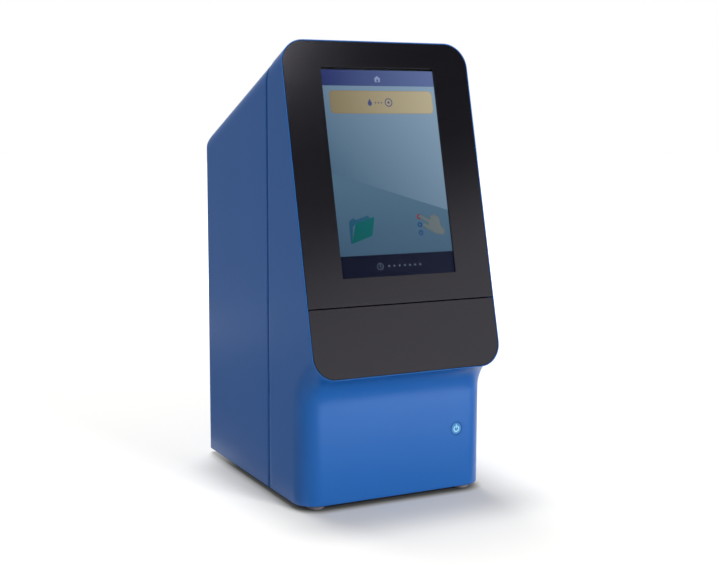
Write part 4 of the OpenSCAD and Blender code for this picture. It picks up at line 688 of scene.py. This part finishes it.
def cutButtonHole(bm):  # opens the skin round the button and joins the opening to a true circle
    bx, bz = (v / 1000 for v in buttonHole["centre"])
    r, opened, mended, deep, close = (buttonHole[k] / 1000 for k in ("radius", "opened", "mended", "deep", "close"))
    face = shell["face"] / 1000

    def away(p):
        return hypot(p.x - bx, p.z - bz)

    near = [f for f in bm.faces if abs(f.calc_center_median().y - face) < close
            and min(away(v.co) for v in f.verts) < r + opened]
    bmesh.ops.delete(bm, geom=near, context="FACES")
    border = [e for e in bm.edges if len(e.link_faces) == 1
              and all(away(v.co) < r + mended and abs(v.co.y - face) < close for v in e.verts)]
    front = [bm.verts.new((bx + x, face, bz + z)) for x, z in circle(buttonHole["steps"], r)]
    back = [bm.verts.new(v.co + Vector((0, deep, 0))) for v in front]
    made = fillOutline(bm, border + closedLine(bm, front))
    inside = [f for f in made if away(f.calc_center_median()) < r * buttonHole["inside"]]
    bmesh.ops.delete(bm, geom=inside, context="FACES_ONLY")
    joinRows(bm, [back, front], smooth=False)


def buildFrontSkin():
    rows = skinRows() / 1000
    mirrored = rows[:, ::-1] * np.array([-1, 1, 1])
    rows = np.concatenate([rows, mirrored[:, 1:-1]], axis=1)  # right half, then left half, closed
    bm = bmesh.new()
    joinRows(bm, [[bm.verts.new(co) for co in line] for line in rows])
    cutButtonHole(bm)
    faceOutwards(bm)
    # the shell's own inner faces, with what lies on the skin drawn a little under it
    inner = bmesh.new()
    inner.from_mesh(nodes["front_shell"].data)
    co = np.array([v.co for v in inner.verts]) * 1000
    cut = -(co[:, 1] - edgeY) * cos(tilt) + (co[:, 2] - edgeZ) * sin(tilt)
    under, underPanel = solidShell["under"], solidShell["underPanel"]
    front = co[:, 1] < solidShell["seam"] + solidShell["close"]
    onSkin = np.where(front, np.maximum(shellDistance(co, solidShell["noseRound"], 0.0), cut), -np.inf)
    onSkin, onSeam = onSkin > solidShell["outer"], np.abs(co[:, 1] - solidShell["seam"]) < solidShell["flat"]
    outer = [f for f in inner.faces
             if all(onSkin[v.index] for v in f.verts) or all(onSeam[v.index] for v in f.verts)]
    near = front & (np.maximum(shellDistance(co), cut) > -under)
    sunk = co.copy()
    sunk[near] -= shellNormal(co[near]) * (shellDistance(co[near])[:, None] + under).clip(0)
    onCut = front & (cut > -underPanel)
    sunk[onCut] -= outPanel * (cut[onCut][:, None] + underPanel)
    for v in inner.verts:
        v.co = Vector(sunk[v.index] / 1000)
    bmesh.ops.delete(inner, geom=outer, context="FACES")
    addMesh(bm, inner)
    makePiece("frontSkin", bm, "blue_case", "case", "front_shell")


# the rear shell's front edge, rolled inwards at the seam
seamBead = {"start": -20.0, "over": 0.02, "under": 0.4, "round": 1.7, "steps": 7, "deep": 1.75,
            "counts": (12, 14, 40)}


def buildSeamBead():
    r, start, deep = seamBead["round"], seamBead["start"], seamBead["deep"]
    turns = [pi / 2 * k / seamBead["steps"] for k in range(seamBead["steps"] + 1)]
    section = [(start - r * sin(a), r * (1 - cos(a))) for a in turns]
    section += [(start - r, deep), (start + seamBead["over"], deep)]
    bm = bmesh.new()
    rows = []
    for y, inset in section:
        line = joinLines(crossLines(y), seamBead["counts"])
        line = line - shellNormal(line + [0, 0, 1e-4]) * (seamBead["under"] + inset)
        line[:, 1] = y
        line[-1, 2] = shell["foot"]
        rows.append([bm.verts.new(co / 1000) for co in np.concatenate([line[::-1] * [-1, 1, 1], line[1:]])])
    joinRows(bm, rows + rows[:1], closed=False)
    for j in (0, -1):
        bm.faces.new([row[j] for row in rows])
    faceOutwards(bm)
    makePiece("seamBead", bm, "blue_case", "case", smooth=40)


buildFrontSkin()
buildSeamBead()
print("front skin built")

# panel and drawer fronts: the CAD's own meshes with their edges let out to the skin's thinner rim, and the
# screen's opening moved a little up. Millimetres; the window is its half width and its top edge from and to.
panelFaces = {"gap": 0.25, "solidInset": 1.2, "turns": 4, "outer": -0.7, "window": (46.6, 19, 24), "up": 1.6}


def panelEdge(p, inset, lowRound):  # on the panel's plane: how far points stand outside its rounded edge
    side, v = np.abs(p[:, 0]) - shell["half"] + inset, p[:, 1]
    return np.maximum(roundedCut(inset - v, side, shell["topRound"] - inset),
                      roundedCut(v - panelLong + inset, side, lowRound - inset))


def buildPanelFace(name, nodeName, body):
    bm = bmesh.new()
    bm.from_mesh(nodes[nodeName].data)
    co = np.array([v.co for v in bm.verts]) * 1000
    down = np.array([-sin(tilt), -cos(tilt)])
    flat = np.stack([co[:, 0], (co[:, 1] - edgeY) * down[0] + (co[:, 2] - edgeZ) * down[1]], 1)
    was = panelEdge(flat, panelFaces["solidInset"], solidShell["noseRound"])
    wanted = (shell["rim"] + panelFaces["gap"], shell["noseRound"])
    moved = flat.copy()
    for _ in range(panelFaces["turns"]):
        gap = was - panelEdge(moved, *wanted)
        steps = np.eye(2) * shell["step"]
        ways = unit(np.stack([panelEdge(moved + s, *wanted) - panelEdge(moved - s, *wanted) for s in steps], 1))
        moved += gap[:, None] * ways
    halfWide, high, low = panelFaces["window"]
    for v in bm.verts:
        across, along = flat[v.index]
        if was[v.index] > panelFaces["outer"]:
            shift = (moved[v.index] - flat[v.index]) / 1000
            v.co += Vector((shift[0], shift[1] * down[0], shift[1] * down[1]))
        elif abs(across) < halfWide and high < along < low:
            v.co -= Vector((0, down[0], down[1])) * panelFaces["up"] / 1000
    makePiece(name, bm, "black_panel", body, nodeName)


buildPanelFace("panelFace", "fascia_panel", "case")
buildPanelFace("drawerFace", "drawer_front", "drawer")
print("panel faces built")


# screen: the lit picture, in layers a hair apart on the display's face. Places are (across, down) in mm on the panel.
def ring(cx, cy, r, steps=40, start=0, end=360):
    count = steps + (end - start < 360)  # an open arc has both its ends
    turns = [radians(start + (end - start) * k / steps) for k in range(count)]
    return [(cx + r * cos(a), cy + r * sin(a)) for a in turns]


def rectangle(x0, y0, x1, y1):
    return [(x0, y0), (x1, y0), (x1, y1), (x0, y1)]


def roundedBox(x0, y0, x1, y1, r):
    out = []
    for cx, cy, a in ((x1 - r, y1 - r, 0), (x0 + r, y1 - r, 90), (x0 + r, y0 + r, 180), (x1 - r, y0 + r, 270)):
        out += ring(cx, cy, r, 6, a, a + 90)
    return out


def drop(cx, cy, r):  # a drop with its point upwards
    return ring(cx, cy, r, 20, -35, 215) + [(cx, cy - 2.1 * r)]


def bar(x0, y0, x1, y1, r):  # a straight bar with round ends
    a = degrees(atan2(y1 - y0, x1 - x0))
    return ring(x1, y1, r, 10, a - 90, a + 90) + ring(x0, y0, r, 10, a + 90, a + 270)


# a plain pointing hand: finger, thumb, three folded fingers, palm and wrist
handBars = [(23.0, 127.7, 31.5, 132.6, 1.25), (25.2, 133.8, 31.0, 137.6, 1.2), (31.9, 128.4, 33.5, 132.5, 1.4),
            (34.3, 128.0, 35.6, 132.0, 1.4), (36.4, 129.4, 37.2, 133.0, 1.3), (32.8, 133.8, 34.8, 136.4, 4.3),
            (36.6, 136.6, 38.8, 139.0, 2.7)]
handLine = 0.35  # the darker edge round them

# the depth of the lowest layer, the step to the next, and the shapes: layer, material, outline and, where it
# has one, the outline of a hole; all drawn in this order
screen = {
    "face": 2.695, "layer": 0.012,
    "shapes": [
        (0, "groundGlow", rectangle(-47.2, 19.4, 47.2, 170.6)),
        # painted reflection: the lighter upper part above a slanting edge stands for a reflection in the glass
        (1, "skyGlow", [(-47.2, 21.1), (47.2, 21.1), (47.2, 124.13), (-47.2, 94.15)]),
        (2, "headerGlow", rectangle(-47.2, 20.6, 47.2, 32.2)),
        (2, "footerGlow", rectangle(-47.2, 153.9, 47.2, 170.6)),
        # painted shadow: a dark strip along the top of the picture, where the window's upper edge shades it
        (3, "display", rectangle(-47.2, 19.4, 47.2, 20.7)),
        (2, "buttonLine", roundedBox(-39.7, 35.7, 43.5, 52.3, 3.2)),
        (3, "buttonGlow", roundedBox(-39.3, 36.1, 43.1, 51.9, 2.8)),
        # house
        (3, "paleGlow",
         [(-0.2, 24.7), (2.6, 27.1), (1.9, 27.1), (1.9, 29.3), (-2.3, 29.3), (-2.3, 27.1), (-3.0, 27.1)],
         [(-0.9, 29.0), (0.5, 29.0), (0.5, 27.3), (-0.9, 27.3)]),
        # drop, dots and cuvette ring
        (4, "inkGlow", drop(-8.2, 45.0, 1.7)),
        *((4, "inkGlow", ring(x, 44.4, 0.55, 16)) for x in (-3.6, -1.2, 1.2)),
        (4, "inkGlow", ring(7.0, 44.2, 3.1), ring(7.0, 44.2, 2.4)),
        (4, "inkGlow", ring(7.0, 44.2, 0.9, 20)),
        # folder
        (2, "folderBackGlow",
         [(-35.0, 130.0), (-33.9, 128.5), (-30.9, 127.1), (-29.5, 128.6), (-19.9, 125.6), (-18.7, 126.5),
          (-18.6, 127.9), (-29.8, 131.4), (-32.1, 133.1), (-34.1, 145.1), (-35.1, 144.8)]),
        (3, "folderGlow",
         [(-30.1, 131.7), (-29.4, 131.1), (-15.5, 126.8), (-14.7, 127.6), (-17.5, 139.4), (-18.5, 140.4),
          (-33.9, 145.3), (-34.3, 144.6)]),
        # three rings beside the hand
        *((2, kind, ring(x, y, 1.9, 28), ring(x, y, 0.8, 28))
          for kind, x, y in (("redGlow", 21.5, 127.9), ("ringGlow", 21.6, 133.7), ("ringGlow", 21.7, 139.5))),
        # clock, with dots for the days
        (3, "dimGlow", ring(-14.0, 162.2, 2.5), ring(-14.0, 162.2, 2.05)),
        (3, "dimGlow",
         [(-14.2, 160.6), (-13.8, 160.6), (-13.8, 162.0), (-12.7, 162.9), (-12.9, 163.2), (-14.2, 162.3)]),
        *((3, "handEdge", bar(*place[:4], place[4] + handLine)) for place in handBars),
        *((4, "handGlow", bar(*place)) for place in handBars),
        *((3, "dimGlow", ring(-7.0 + 4.2 * k, 162.2, 0.75, 16)) for k in range(7)),
    ],
}


def buildScreenPicture():
    bm = bmesh.new()
    kinds = list(dict.fromkeys(kind for layer, kind, *lines in screen["shapes"]))
    for layer, kind, *lines in screen["shapes"]:
        depth = screen["face"] - layer * screen["layer"]
        loops = [[bm.verts.new(onPanel(*p, depth)) for p in line] for line in lines]
        for f in fillOutline(bm, [edge for loop in loops for edge in closedLine(bm, loop)]):
            f.material_index = kinds.index(kind)
            if f.normal.y > 0:
                f.normal_flip()
    makePiece("screenPicture", bm, "display", "case", kinds=kinds)


buildScreenPicture()
print("screen lit")

# power button: a turned cap with its plunger, and the lit symbol let into it. Millimetres; along is y.
powerButton = {
    "profile": [(0, -83.90), (3.2, -83.90), (3.5, -83.97), (3.8, -83.96), (4.1, -83.84), (4.3, -83.6), (4.4, -83.2),
                (4.42, -82.6), (4.42, -81.2), (6.0, -81.15), (6.2, -80.95), (6.2, -79.95), (6.0, -79.75),
                (1.9, -79.75), (1.7, -79.55), (1.7, -69.8), (1.4, -69.5), (0, -69.5)],
    "ring": (1.72, 2.35, 24), "stem": (0.30, -0.55, -3.15, -3.35), "face": -83.955, "back": -83.88,
}


def buildPowerButton():
    bx, bz = buttonHole["centre"]
    bm = bmesh.new()
    addTurned(bm, powerButton["profile"], 72, lambda a, along, b: metres(bx + a, along, bz + b))
    faceOutwards(bm)
    makePiece("powerCap", bm, "button_plastic", "button", "power_button", smooth=35)
    bm = bmesh.new()
    inside, outside, gap = powerButton["ring"]
    start, end = gap - 90, 270 - gap
    arc = ring(0, 0, outside, 40, start, end) + ring(0, 0, inside, 40, start, end)[::-1]
    wide, low, high, tip = powerButton["stem"]
    stem = [(-wide, low), (wide, low), (wide, high), (0, tip), (-wide, high)]
    for line in (arc, stem):
        rows = [[bm.verts.new(metres(bx + x, y, bz - z)) for x, z in line]
                for y in (powerButton["face"], powerButton["back"])]
        for row in rows:
            fillOutline(bm, closedLine(bm, row))
        joinRows(bm, rows, smooth=False)
    faceOutwards(bm)
    makePiece("powerSymbol", bm, "button_plastic", "button", kinds=["symbolGlow"])


buildPowerButton()
print("power button built")


# circuit boards: chips with legs, small parts, plugs, cans and coils in millimetres on each board's face.
# Chips, plugs and coils give a centre, a width, a depth and a height, and plugs how many pins; cans a centre,
# a radius and a height. Nothing small is put in the areas of keep, each given by two corners.
def onMain(x, y, z):
    return metres(x, y, 13.6 + z)


def onDetector(x, y, z):
    return metres(x, y, 187.6 + z)


def onDisplay(x, v, z):
    return onPanel(x, v, 13.6 + z)


boards = {
    "mainBoardParts": {
        "put": onMain, "area": (-50, 14, 50, 80), "count": 90,
        "keep": [(-37.5, 19, -4.5, 52), (-54, 9, -46, 18), (46, 9, 54, 18), (-54, 90, -46, 100), (46, 90, 54, 100),
                 (-46, 80, 46, 100)],
        "chips": [(12, 35, 22, 22, 1.6), (33, 58, 12, 16, 1.4), (4, 62, 10, 8, 1.2), (-26, 66, 14, 9, 1.4),
                  (38, 34, 8, 8, 1.2)],
        "plugs": [(-44, 60, 5, 22, 8, 8), (8, 15, 26, 5, 6, 10), (45, 62, 5, 18, 8, 6), (44, 24, 5, 10, 7, 4)],
        "cans": [(-10, 74, 3.2, 8), (-2, 75, 3.2, 8), (20, 74, 2.6, 6), (-43, 40, 3.2, 9)],
        "coils": [(26, 20, 7, 7, 3.4), (-44, 29, 6, 6, 3)],
    },
    "flashBoardParts": {
        "put": onMain, "area": (-22, -68, 16, -24), "count": 30,
        "keep": [(-50, -72, -42, -64), (12, -72, 20, -64), (-50, -28, -42, -20), (12, -28, 20, -20)],
        "chips": [(-12, -60, 8, 6, 1.4), (4, -32, 6, 5, 1.2)],
        "plugs": [(15, -46, 5, 16, 8, 4)],
        "cans": [(-18, -30, 2.4, 6)],
        "coils": [(-10, -44, 13, 13, 10), (5, -60, 8, 8, 5)],
    },
    "detectorBoardParts": {
        "put": onDetector, "area": (-44, -16, 44, 6), "count": 46,
        "keep": [(-48, -19, -42, 9), (42, -19, 48, 9)],
        "chips": [(-28, -5, 7, 6, 1.2), (-10, -5, 7, 6, 1.2), (10, -5, 7, 6, 1.2), (28, -5, 7, 6, 1.2)],
        "plugs": [(0, 5, 16, 4, 2.6, 8)], "cans": [], "coils": [(-19, -13, 3, 3, 1.4), (19, -13, 3, 3, 1.4)],
    },
    "displayBoardParts": {
        "put": onDisplay, "area": (-34, 60, 34, 130), "count": 50,
        "keep": [],
        "chips": [(0, 84, 14, 14, 1.4), (-20, 100, 9, 7, 1.2), (20, 104, 7, 9, 1.2)],
        "plugs": [(0, 124, 30, 4, 2.4, 12), (-30, 80, 4, 14, 2.4, 5)], "cans": [], "coils": [(22, 76, 5, 5, 2.0)],
    },
}
kindsOnBoards = ("chipBody", "platedSteel", "ceramicPart", "creamNylon", "blackAluminium")
boardRules = {"pitch": 1.27, "legWide": 0.4, "wall": 0.7, "tries": 12, "softEdge": 0.04}


def buildBoard(name, spec):
    sets = {kind: bmesh.new() for kind in kindsOnBoards}
    put, pitch, wall = spec["put"], boardRules["pitch"], boardRules["wall"]
    taken = list(spec["keep"])

    def block(kind, x, y, wide, deep, low, high, bevel=0):  # centred on x and y
        addBlock(sets[kind], (x - wide / 2, y - deep / 2, low), (x + wide / 2, y + deep / 2, high), bevel, put)

    def take(x, y, wide, deep):
        taken.append((x - wide / 2, y - deep / 2, x + wide / 2, y + deep / 2))

    for x, y, w, d, h in spec["chips"]:
        block("chipBody", x, y, w, d, 0.2, h, 0.12)
        legs, top = int(d / pitch), h * 0.42
        for side in (-1, 1):
            for k in range(legs):
                at = y + (k - (legs - 1) / 2) * pitch
                # out of the chip, along the board, and down between them
                for out, wide, low, high in ((0.45, 0.9, top, top + 0.15), (1.05, 0.9, 0.02, 0.17),
                                             (0.75, 0.3, 0.1, top + 0.1)):
                    block("platedSteel", x + side * (w / 2 + out), at, wide, boardRules["legWide"], low, high)
        take(x, y, w + 4, d + 1.2)
    for x, y, w, d, h, pins in spec["plugs"]:
        inW, inD = w - 2 * wall, d - 2 * wall
        # the walls left and right, in front, the lower one behind, and the floor
        for dx, dy, wide, deep, high in ((wall - w, 0, wall, d, h), (w - wall, 0, wall, d, h),
                                         (0, wall - d, inW, wall, h), (0, d - wall, inW, wall, h * 0.8),
                                         (0, 0, inW, inD, 0.9)):
            block("creamNylon", x + dx / 2, y + dy / 2, wide, deep, 0, high)
        for k in range(pins):
            step = (k - (pins - 1) / 2) * (max(w, d) - 2.4) / max(pins - 1, 1)
            px, py = (x + step, y) if w > d else (x, y + step)
            block("platedSteel", px, py, 0.6, 0.6, 0.5, h * 0.85, 0.1)
        take(x, y, w + 1, d + 1)
    for x, y, r, h in spec["cans"]:
        profile = [(0, h - 0.15), (r * 0.75, h - 0.15), (r * 0.8, h), (r * 0.95, h), (r, h - 0.25), (r, 1.6),
                   (r * 0.9, 1.3), (r * 0.9, 1.1), (r, 0.9), (r, 0.05), (0, 0.05)]
        addTurned(sets["platedSteel"], profile, 28, lambda a, along, b: put(x + a, y + b, along))
        block("chipBody", x, y, 2 * r, 2 * r, 0, 0.5, 0.1)
        take(x, y, 2 * r + 1.2, 2 * r + 1.2)
    for x, y, w, d, h in spec["coils"]:
        block("blackAluminium", x, y, w, d, 0.1, h, 0.45)
        for side in (-1, 1):
            block("platedSteel", x + side * w / 2, y, 0.5, d * 0.6, 0.02, h * 0.5, 0.05)
        take(x, y, w + 1.6, d + 1.6)
    x0, y0, x1, y1 = spec["area"]
    placed = 0
    for _ in range(spec["count"] * boardRules["tries"]):  # small resistors and capacitors where there is room
        if placed == spec["count"]:
            break
        x = x0 + round(random.random() * (x1 - x0) / pitch) * pitch
        y = y0 + round(random.random() * (y1 - y0) / pitch) * pitch
        w, d = (2.0, 1.2) if random.random() < 0.5 else (1.2, 2.0)
        if any(x + w > a and x - w < c and y + d > b and y - d < e for a, b, c, e in taken):
            continue
        take(x, y, w, d)
        placed += 1
        kind = "ceramicPart" if random.random() < 0.55 else "chipBody"
        h, soft = 0.8 if kind == "ceramicPart" else 0.5, boardRules["softEdge"]
        if w > d:  # along x, the body sits a hair behind the middle of its pads
            block(kind, x, y + 0.07 * d, 0.62 * w, 0.76 * d, 0.05, h, soft)
        else:
            block(kind, x, y, 0.9 * w, 0.62 * d, 0.05, h, soft)
        for side in (-0.4, 0.4):
            if w > d:
                block("platedSteel", x + side * w, y, 0.24 * w, 0.96 * d, 0.02, h + 0.03, soft)
            else:
                block("platedSteel", x, y + side * d, 0.96 * w, 0.24 * d, 0.02, h + 0.03, soft)
    whole = bmesh.new()
    for index, kind in enumerate(kindsOnBoards):
        for f in sets[kind].faces:
            f.material_index = index
        faceOutwards(sets[kind])
        addMesh(whole, sets[kind])
    makePiece(name, whole, "circuit_board", "case", kinds=kindsOnBoards)


for boardName, boardSpec in boards.items():
    buildBoard(boardName, boardSpec)
print("boards populated")

# rotor: liquid and a dry bead in the cuvettes, and the foil over the filling ring. Millimetres.
rotorFill = {
    "centre": (0, -40), "count": 28, "radius": 35.0, "slot": (4.7, 2.7), "floor": 115.62, "level": 117.6,
    "across": (-1, -0.7, -0.3, 0.3, 0.7, 1), "along": (-1, -0.6, 0, 0.6, 1), "meniscus": 0.22, "uneven": 0.5,
    "bead": 1.0, "beadHigh": 0.85, "beadLift": 0.87, "beadShift": 0.9, "foil": (11.7, 25.7, 126.75), "ripple": 0.03,
}


def buildRotorFill():
    cx, cy = rotorFill["centre"]
    long, wide = rotorFill["slot"]
    floor, ripple, r = rotorFill["floor"], rotorFill["ripple"], rotorFill["bead"]
    liquid, beads, foil = bmesh.new(), bmesh.new(), bmesh.new()
    for k in range(rotorFill["count"]):
        a = radians(90 + k * 360 / rotorFill["count"])
        outward, across = Vector((cos(a), sin(a))), Vector((-sin(a), cos(a)))

        def put(x, y, z):
            p = Vector((cx, cy)) + outward * (rotorFill["radius"] + x) + across * y
            return metres(p.x, p.y, z)

        level = rotorFill["level"] + rotorFill["uneven"] * sin(3 * k)
        grid = [[liquid.verts.new(put(long / 2 * u, wide / 2 * v,
                                      level + rotorFill["meniscus"] * max(u * u, v * v) ** 2))
                 for v in rotorFill["along"]] for u in rotorFill["across"]]
        joinRows(liquid, grid, closed=False)
        rim = [row[0] for row in grid[:-1]] + grid[-1][:-1] + [row[-1] for row in grid[:0:-1]] + grid[0][:0:-1]
        low = [liquid.verts.new((v.co.x, v.co.y, floor / 1000)) for v in rim]
        joinRows(liquid, [rim, low], smooth=False)
        liquid.faces.new(low)
        if k % 2:
            turns = [t * pi / 8 for t in range(1, 8)]
            high = r * rotorFill["beadHigh"]
            profile = [(0, high), *((r * sin(t), high * cos(t)) for t in turns), (0, -high)]
            shift = rotorFill["beadShift"] * sin(5 * k)
            addTurned(beads, profile, 16, lambda p, along, q: put(p + shift, q, floor + rotorFill["beadLift"] + along))
    faceOutwards(liquid)
    faceOutwards(beads)
    makePiece("cuvetteLiquid", liquid, "clear_plastic", "rotor", kinds=["reagent"])
    makePiece("reagentBeads", beads, "clear_plastic", "rotor", kinds=["whitePlastic"])

    def onRotor(a, along, b):  # the foil has faint ripples
        return metres(cx + a, cy + b, along + ripple * sin(a * 1.7) * cos(b * 1.3))

    inner, outer, z = rotorFill["foil"]
    profile = [(inner, z), (inner + 0.4, z + 0.12), (inner + 1.4, z + 0.03), (outer - 1.4, z + 0.03),
               (outer - 0.4, z + 0.12), (outer, z), (outer - 0.1, z - 0.1), (inner + 0.1, z - 0.1)]
    addTurned(foil, profile, 96, onRotor, closed=True)
    faceOutwards(foil)
    makePiece("rotorFoil", foil, "clear_plastic", "rotor", kinds=["sealFoil"])


buildRotorFill()
print("rotor filled")

# paper web: off the roll, over the wall, under the platen, through the nip and out of the slot. Millimetres down
# the slope and up out of it; the roll is its centre and radius, and the tear is the teeth and their depth.
paperPath = {
    "half": 28.4, "thick": 0.08, "roll": (81.98, -33.9, 22.0), "clear": 0.06, "wrap": 0.05, "tear": (58, 0.7),
    "points": [(58.0, -3.75), (55.0, -3.7), (53.2, -3.75), (52.0, -4.6), (51.1, -6.6), (50.3, -9.2), (49.0, -11.6),
               (46.9, -13.2), (44.6, -13.6), (42.5, -12.8), (41.0, -11.0), (40.3, -8.5), (40.0, -6.6), (39.3, -4.6),
               (38.0, -2.6), (36.6, -0.9), (35.8, 0.6), (35.3, 2.0)],
}


def smoothLine(points, parts=4):  # a smooth line through the points
    line = []
    for k in range(len(points) - 1):
        p0, p1, p2, p3 = (Vector(points[max(0, min(len(points) - 1, k + d))]) for d in (-1, 0, 1, 2))
        for t in (j / parts for j in range(parts)):
            line.append(0.5 * (2 * p1 + (p2 - p0) * t + (2 * p0 - 5 * p1 + 4 * p2 - p3) * t * t
                               + (3 * p1 - p0 - 3 * p2 + p3) * t ** 3))
    return line + [Vector(points[-1])]


def buildPaperWeb():
    cx, cy, r = paperPath["roll"]
    px, py = paperPath["points"][0]
    r += paperPath["clear"]
    turn = atan2(py - cy, px - cx) - acos(r / hypot(px - cx, py - cy))  # where it leaves the roll
    wound = [turn - paperPath["wrap"] * k for k in (4, 3, 2, 1, 0)]
    line = smoothLine([(cx + r * cos(a), cy + r * sin(a)) for a in wound] + paperPath["points"])
    bm = bmesh.new()
    half, thick = paperPath["half"], paperPath["thick"] / 2
    teeth, bite = paperPath["tear"]
    rows = []
    for k, p in enumerate(line):
        last = k == len(line) - 1
        ahead = (line[min(k + 1, len(line) - 1)] - line[max(k - 1, 0)]).normalized()
        side = Vector((-ahead.y, ahead.x)) * thick
        faces = []
        for lift in (1, -1):
            places = [p + side * lift - ahead * (bite if last and j % 2 else 0) for j in range(teeth + 1)]
            faces.append([bm.verts.new(onSlope(half * (2 * j / teeth - 1), q.x, q.y)) for j, q in enumerate(places)])
        rows.append(faces[0] + faces[1][::-1])
    joinRows(bm, rows)
    for row in (rows[0], rows[-1]):
        for j in range(teeth):
            bm.faces.new((row[j], row[j + 1], row[-2 - j], row[-1 - j]))
    faceOutwards(bm)
    makePiece("paperWeb", bm, "paper", "case", smooth=40)


buildPaperWeb()
print("paper threaded")

# ports: gold fingers and signal lamps of the network jack, hex nuts beside the serial port. Millimetres; a finger
# is bent through places (y, z), and a nut's outline is made at each y, scaled.
ports = {
    "fingers": {"x": (-40.05, 1.02, 8), "half": 0.18, "thick": 0.3,
                "bends": ((91.5, 23.75), (92.7, 23.75), (100.2, 20.4), (100.8, 20.9))},
    "lamps": {"kinds": (("greenLens", -43.3), ("amberLens", -32.7)), "half": 0.9, "y": (103.2, 103.75),
              "z": (24.3, 25.9), "bevel": 0.3},
    "nuts": {"centres": ((0.8, 19.85), (25.8, 19.85)), "across": 4.6, "hole": 1.3, "steps": 24,
             "back": 103.4, "front": 104.1, "slant": (0.25, 0.93)},
}


def buildPorts():
    bm = bmesh.new()
    look = ports["fingers"]
    first, pitch, count = look["x"]
    w, t = look["half"], look["thick"]
    for x in (first + k * pitch for k in range(count)):
        rows = [[bm.verts.new(metres(x + a, y, z + b)) for a, b in ((-w, 0), (w, 0), (w, t), (-w, t))]
                for y, z in look["bends"]]
        joinRows(bm, rows, smooth=False)
        bm.faces.new(rows[0])
        bm.faces.new(rows[-1][::-1])
    faceOutwards(bm)
    makePiece("networkFingers", bm, "plated_steel", "case", kinds=["goldPlate"])
    look = ports["lamps"]
    for kind, x in look["kinds"]:
        bm = bmesh.new()
        (back, front), (low, high) = look["y"], look["z"]
        addBlock(bm, (x - look["half"], back, low), (x + look["half"], front, high), look["bevel"])
        makePiece(kind + "Lamp", bm, "plated_steel", "case", kinds=[kind])
    bm = bmesh.new()
    look = ports["nuts"]
    steps, hole, back, front = (look[k] for k in ("steps", "hole", "back", "front"))
    deep, small = look["slant"]
    # a hexagon's distance from its centre at each step
    turns = [k * tau / steps for k in range(steps)]
    hexagon = [look["across"] / 2 / cos(a % (tau / 6) - pi / 6) for a in turns]
    for x, z in look["centres"]:
        rows = []
        for y, scale in ((back, 1), (front - deep, 1), (front, small), (front, None), (back, None)):
            reach = [scale * v if scale else hole for v in hexagon]
            rows.append([bm.verts.new(metres(x + q * a, y, z + q * b))
                         for q, (a, b) in zip(reach, circle(steps))])
        joinRows(bm, rows + rows[:1], smooth=False)
    faceOutwards(bm)
    makePiece("serialNuts", bm, "plated_steel", "case")


buildPorts()
print("ports fitted")
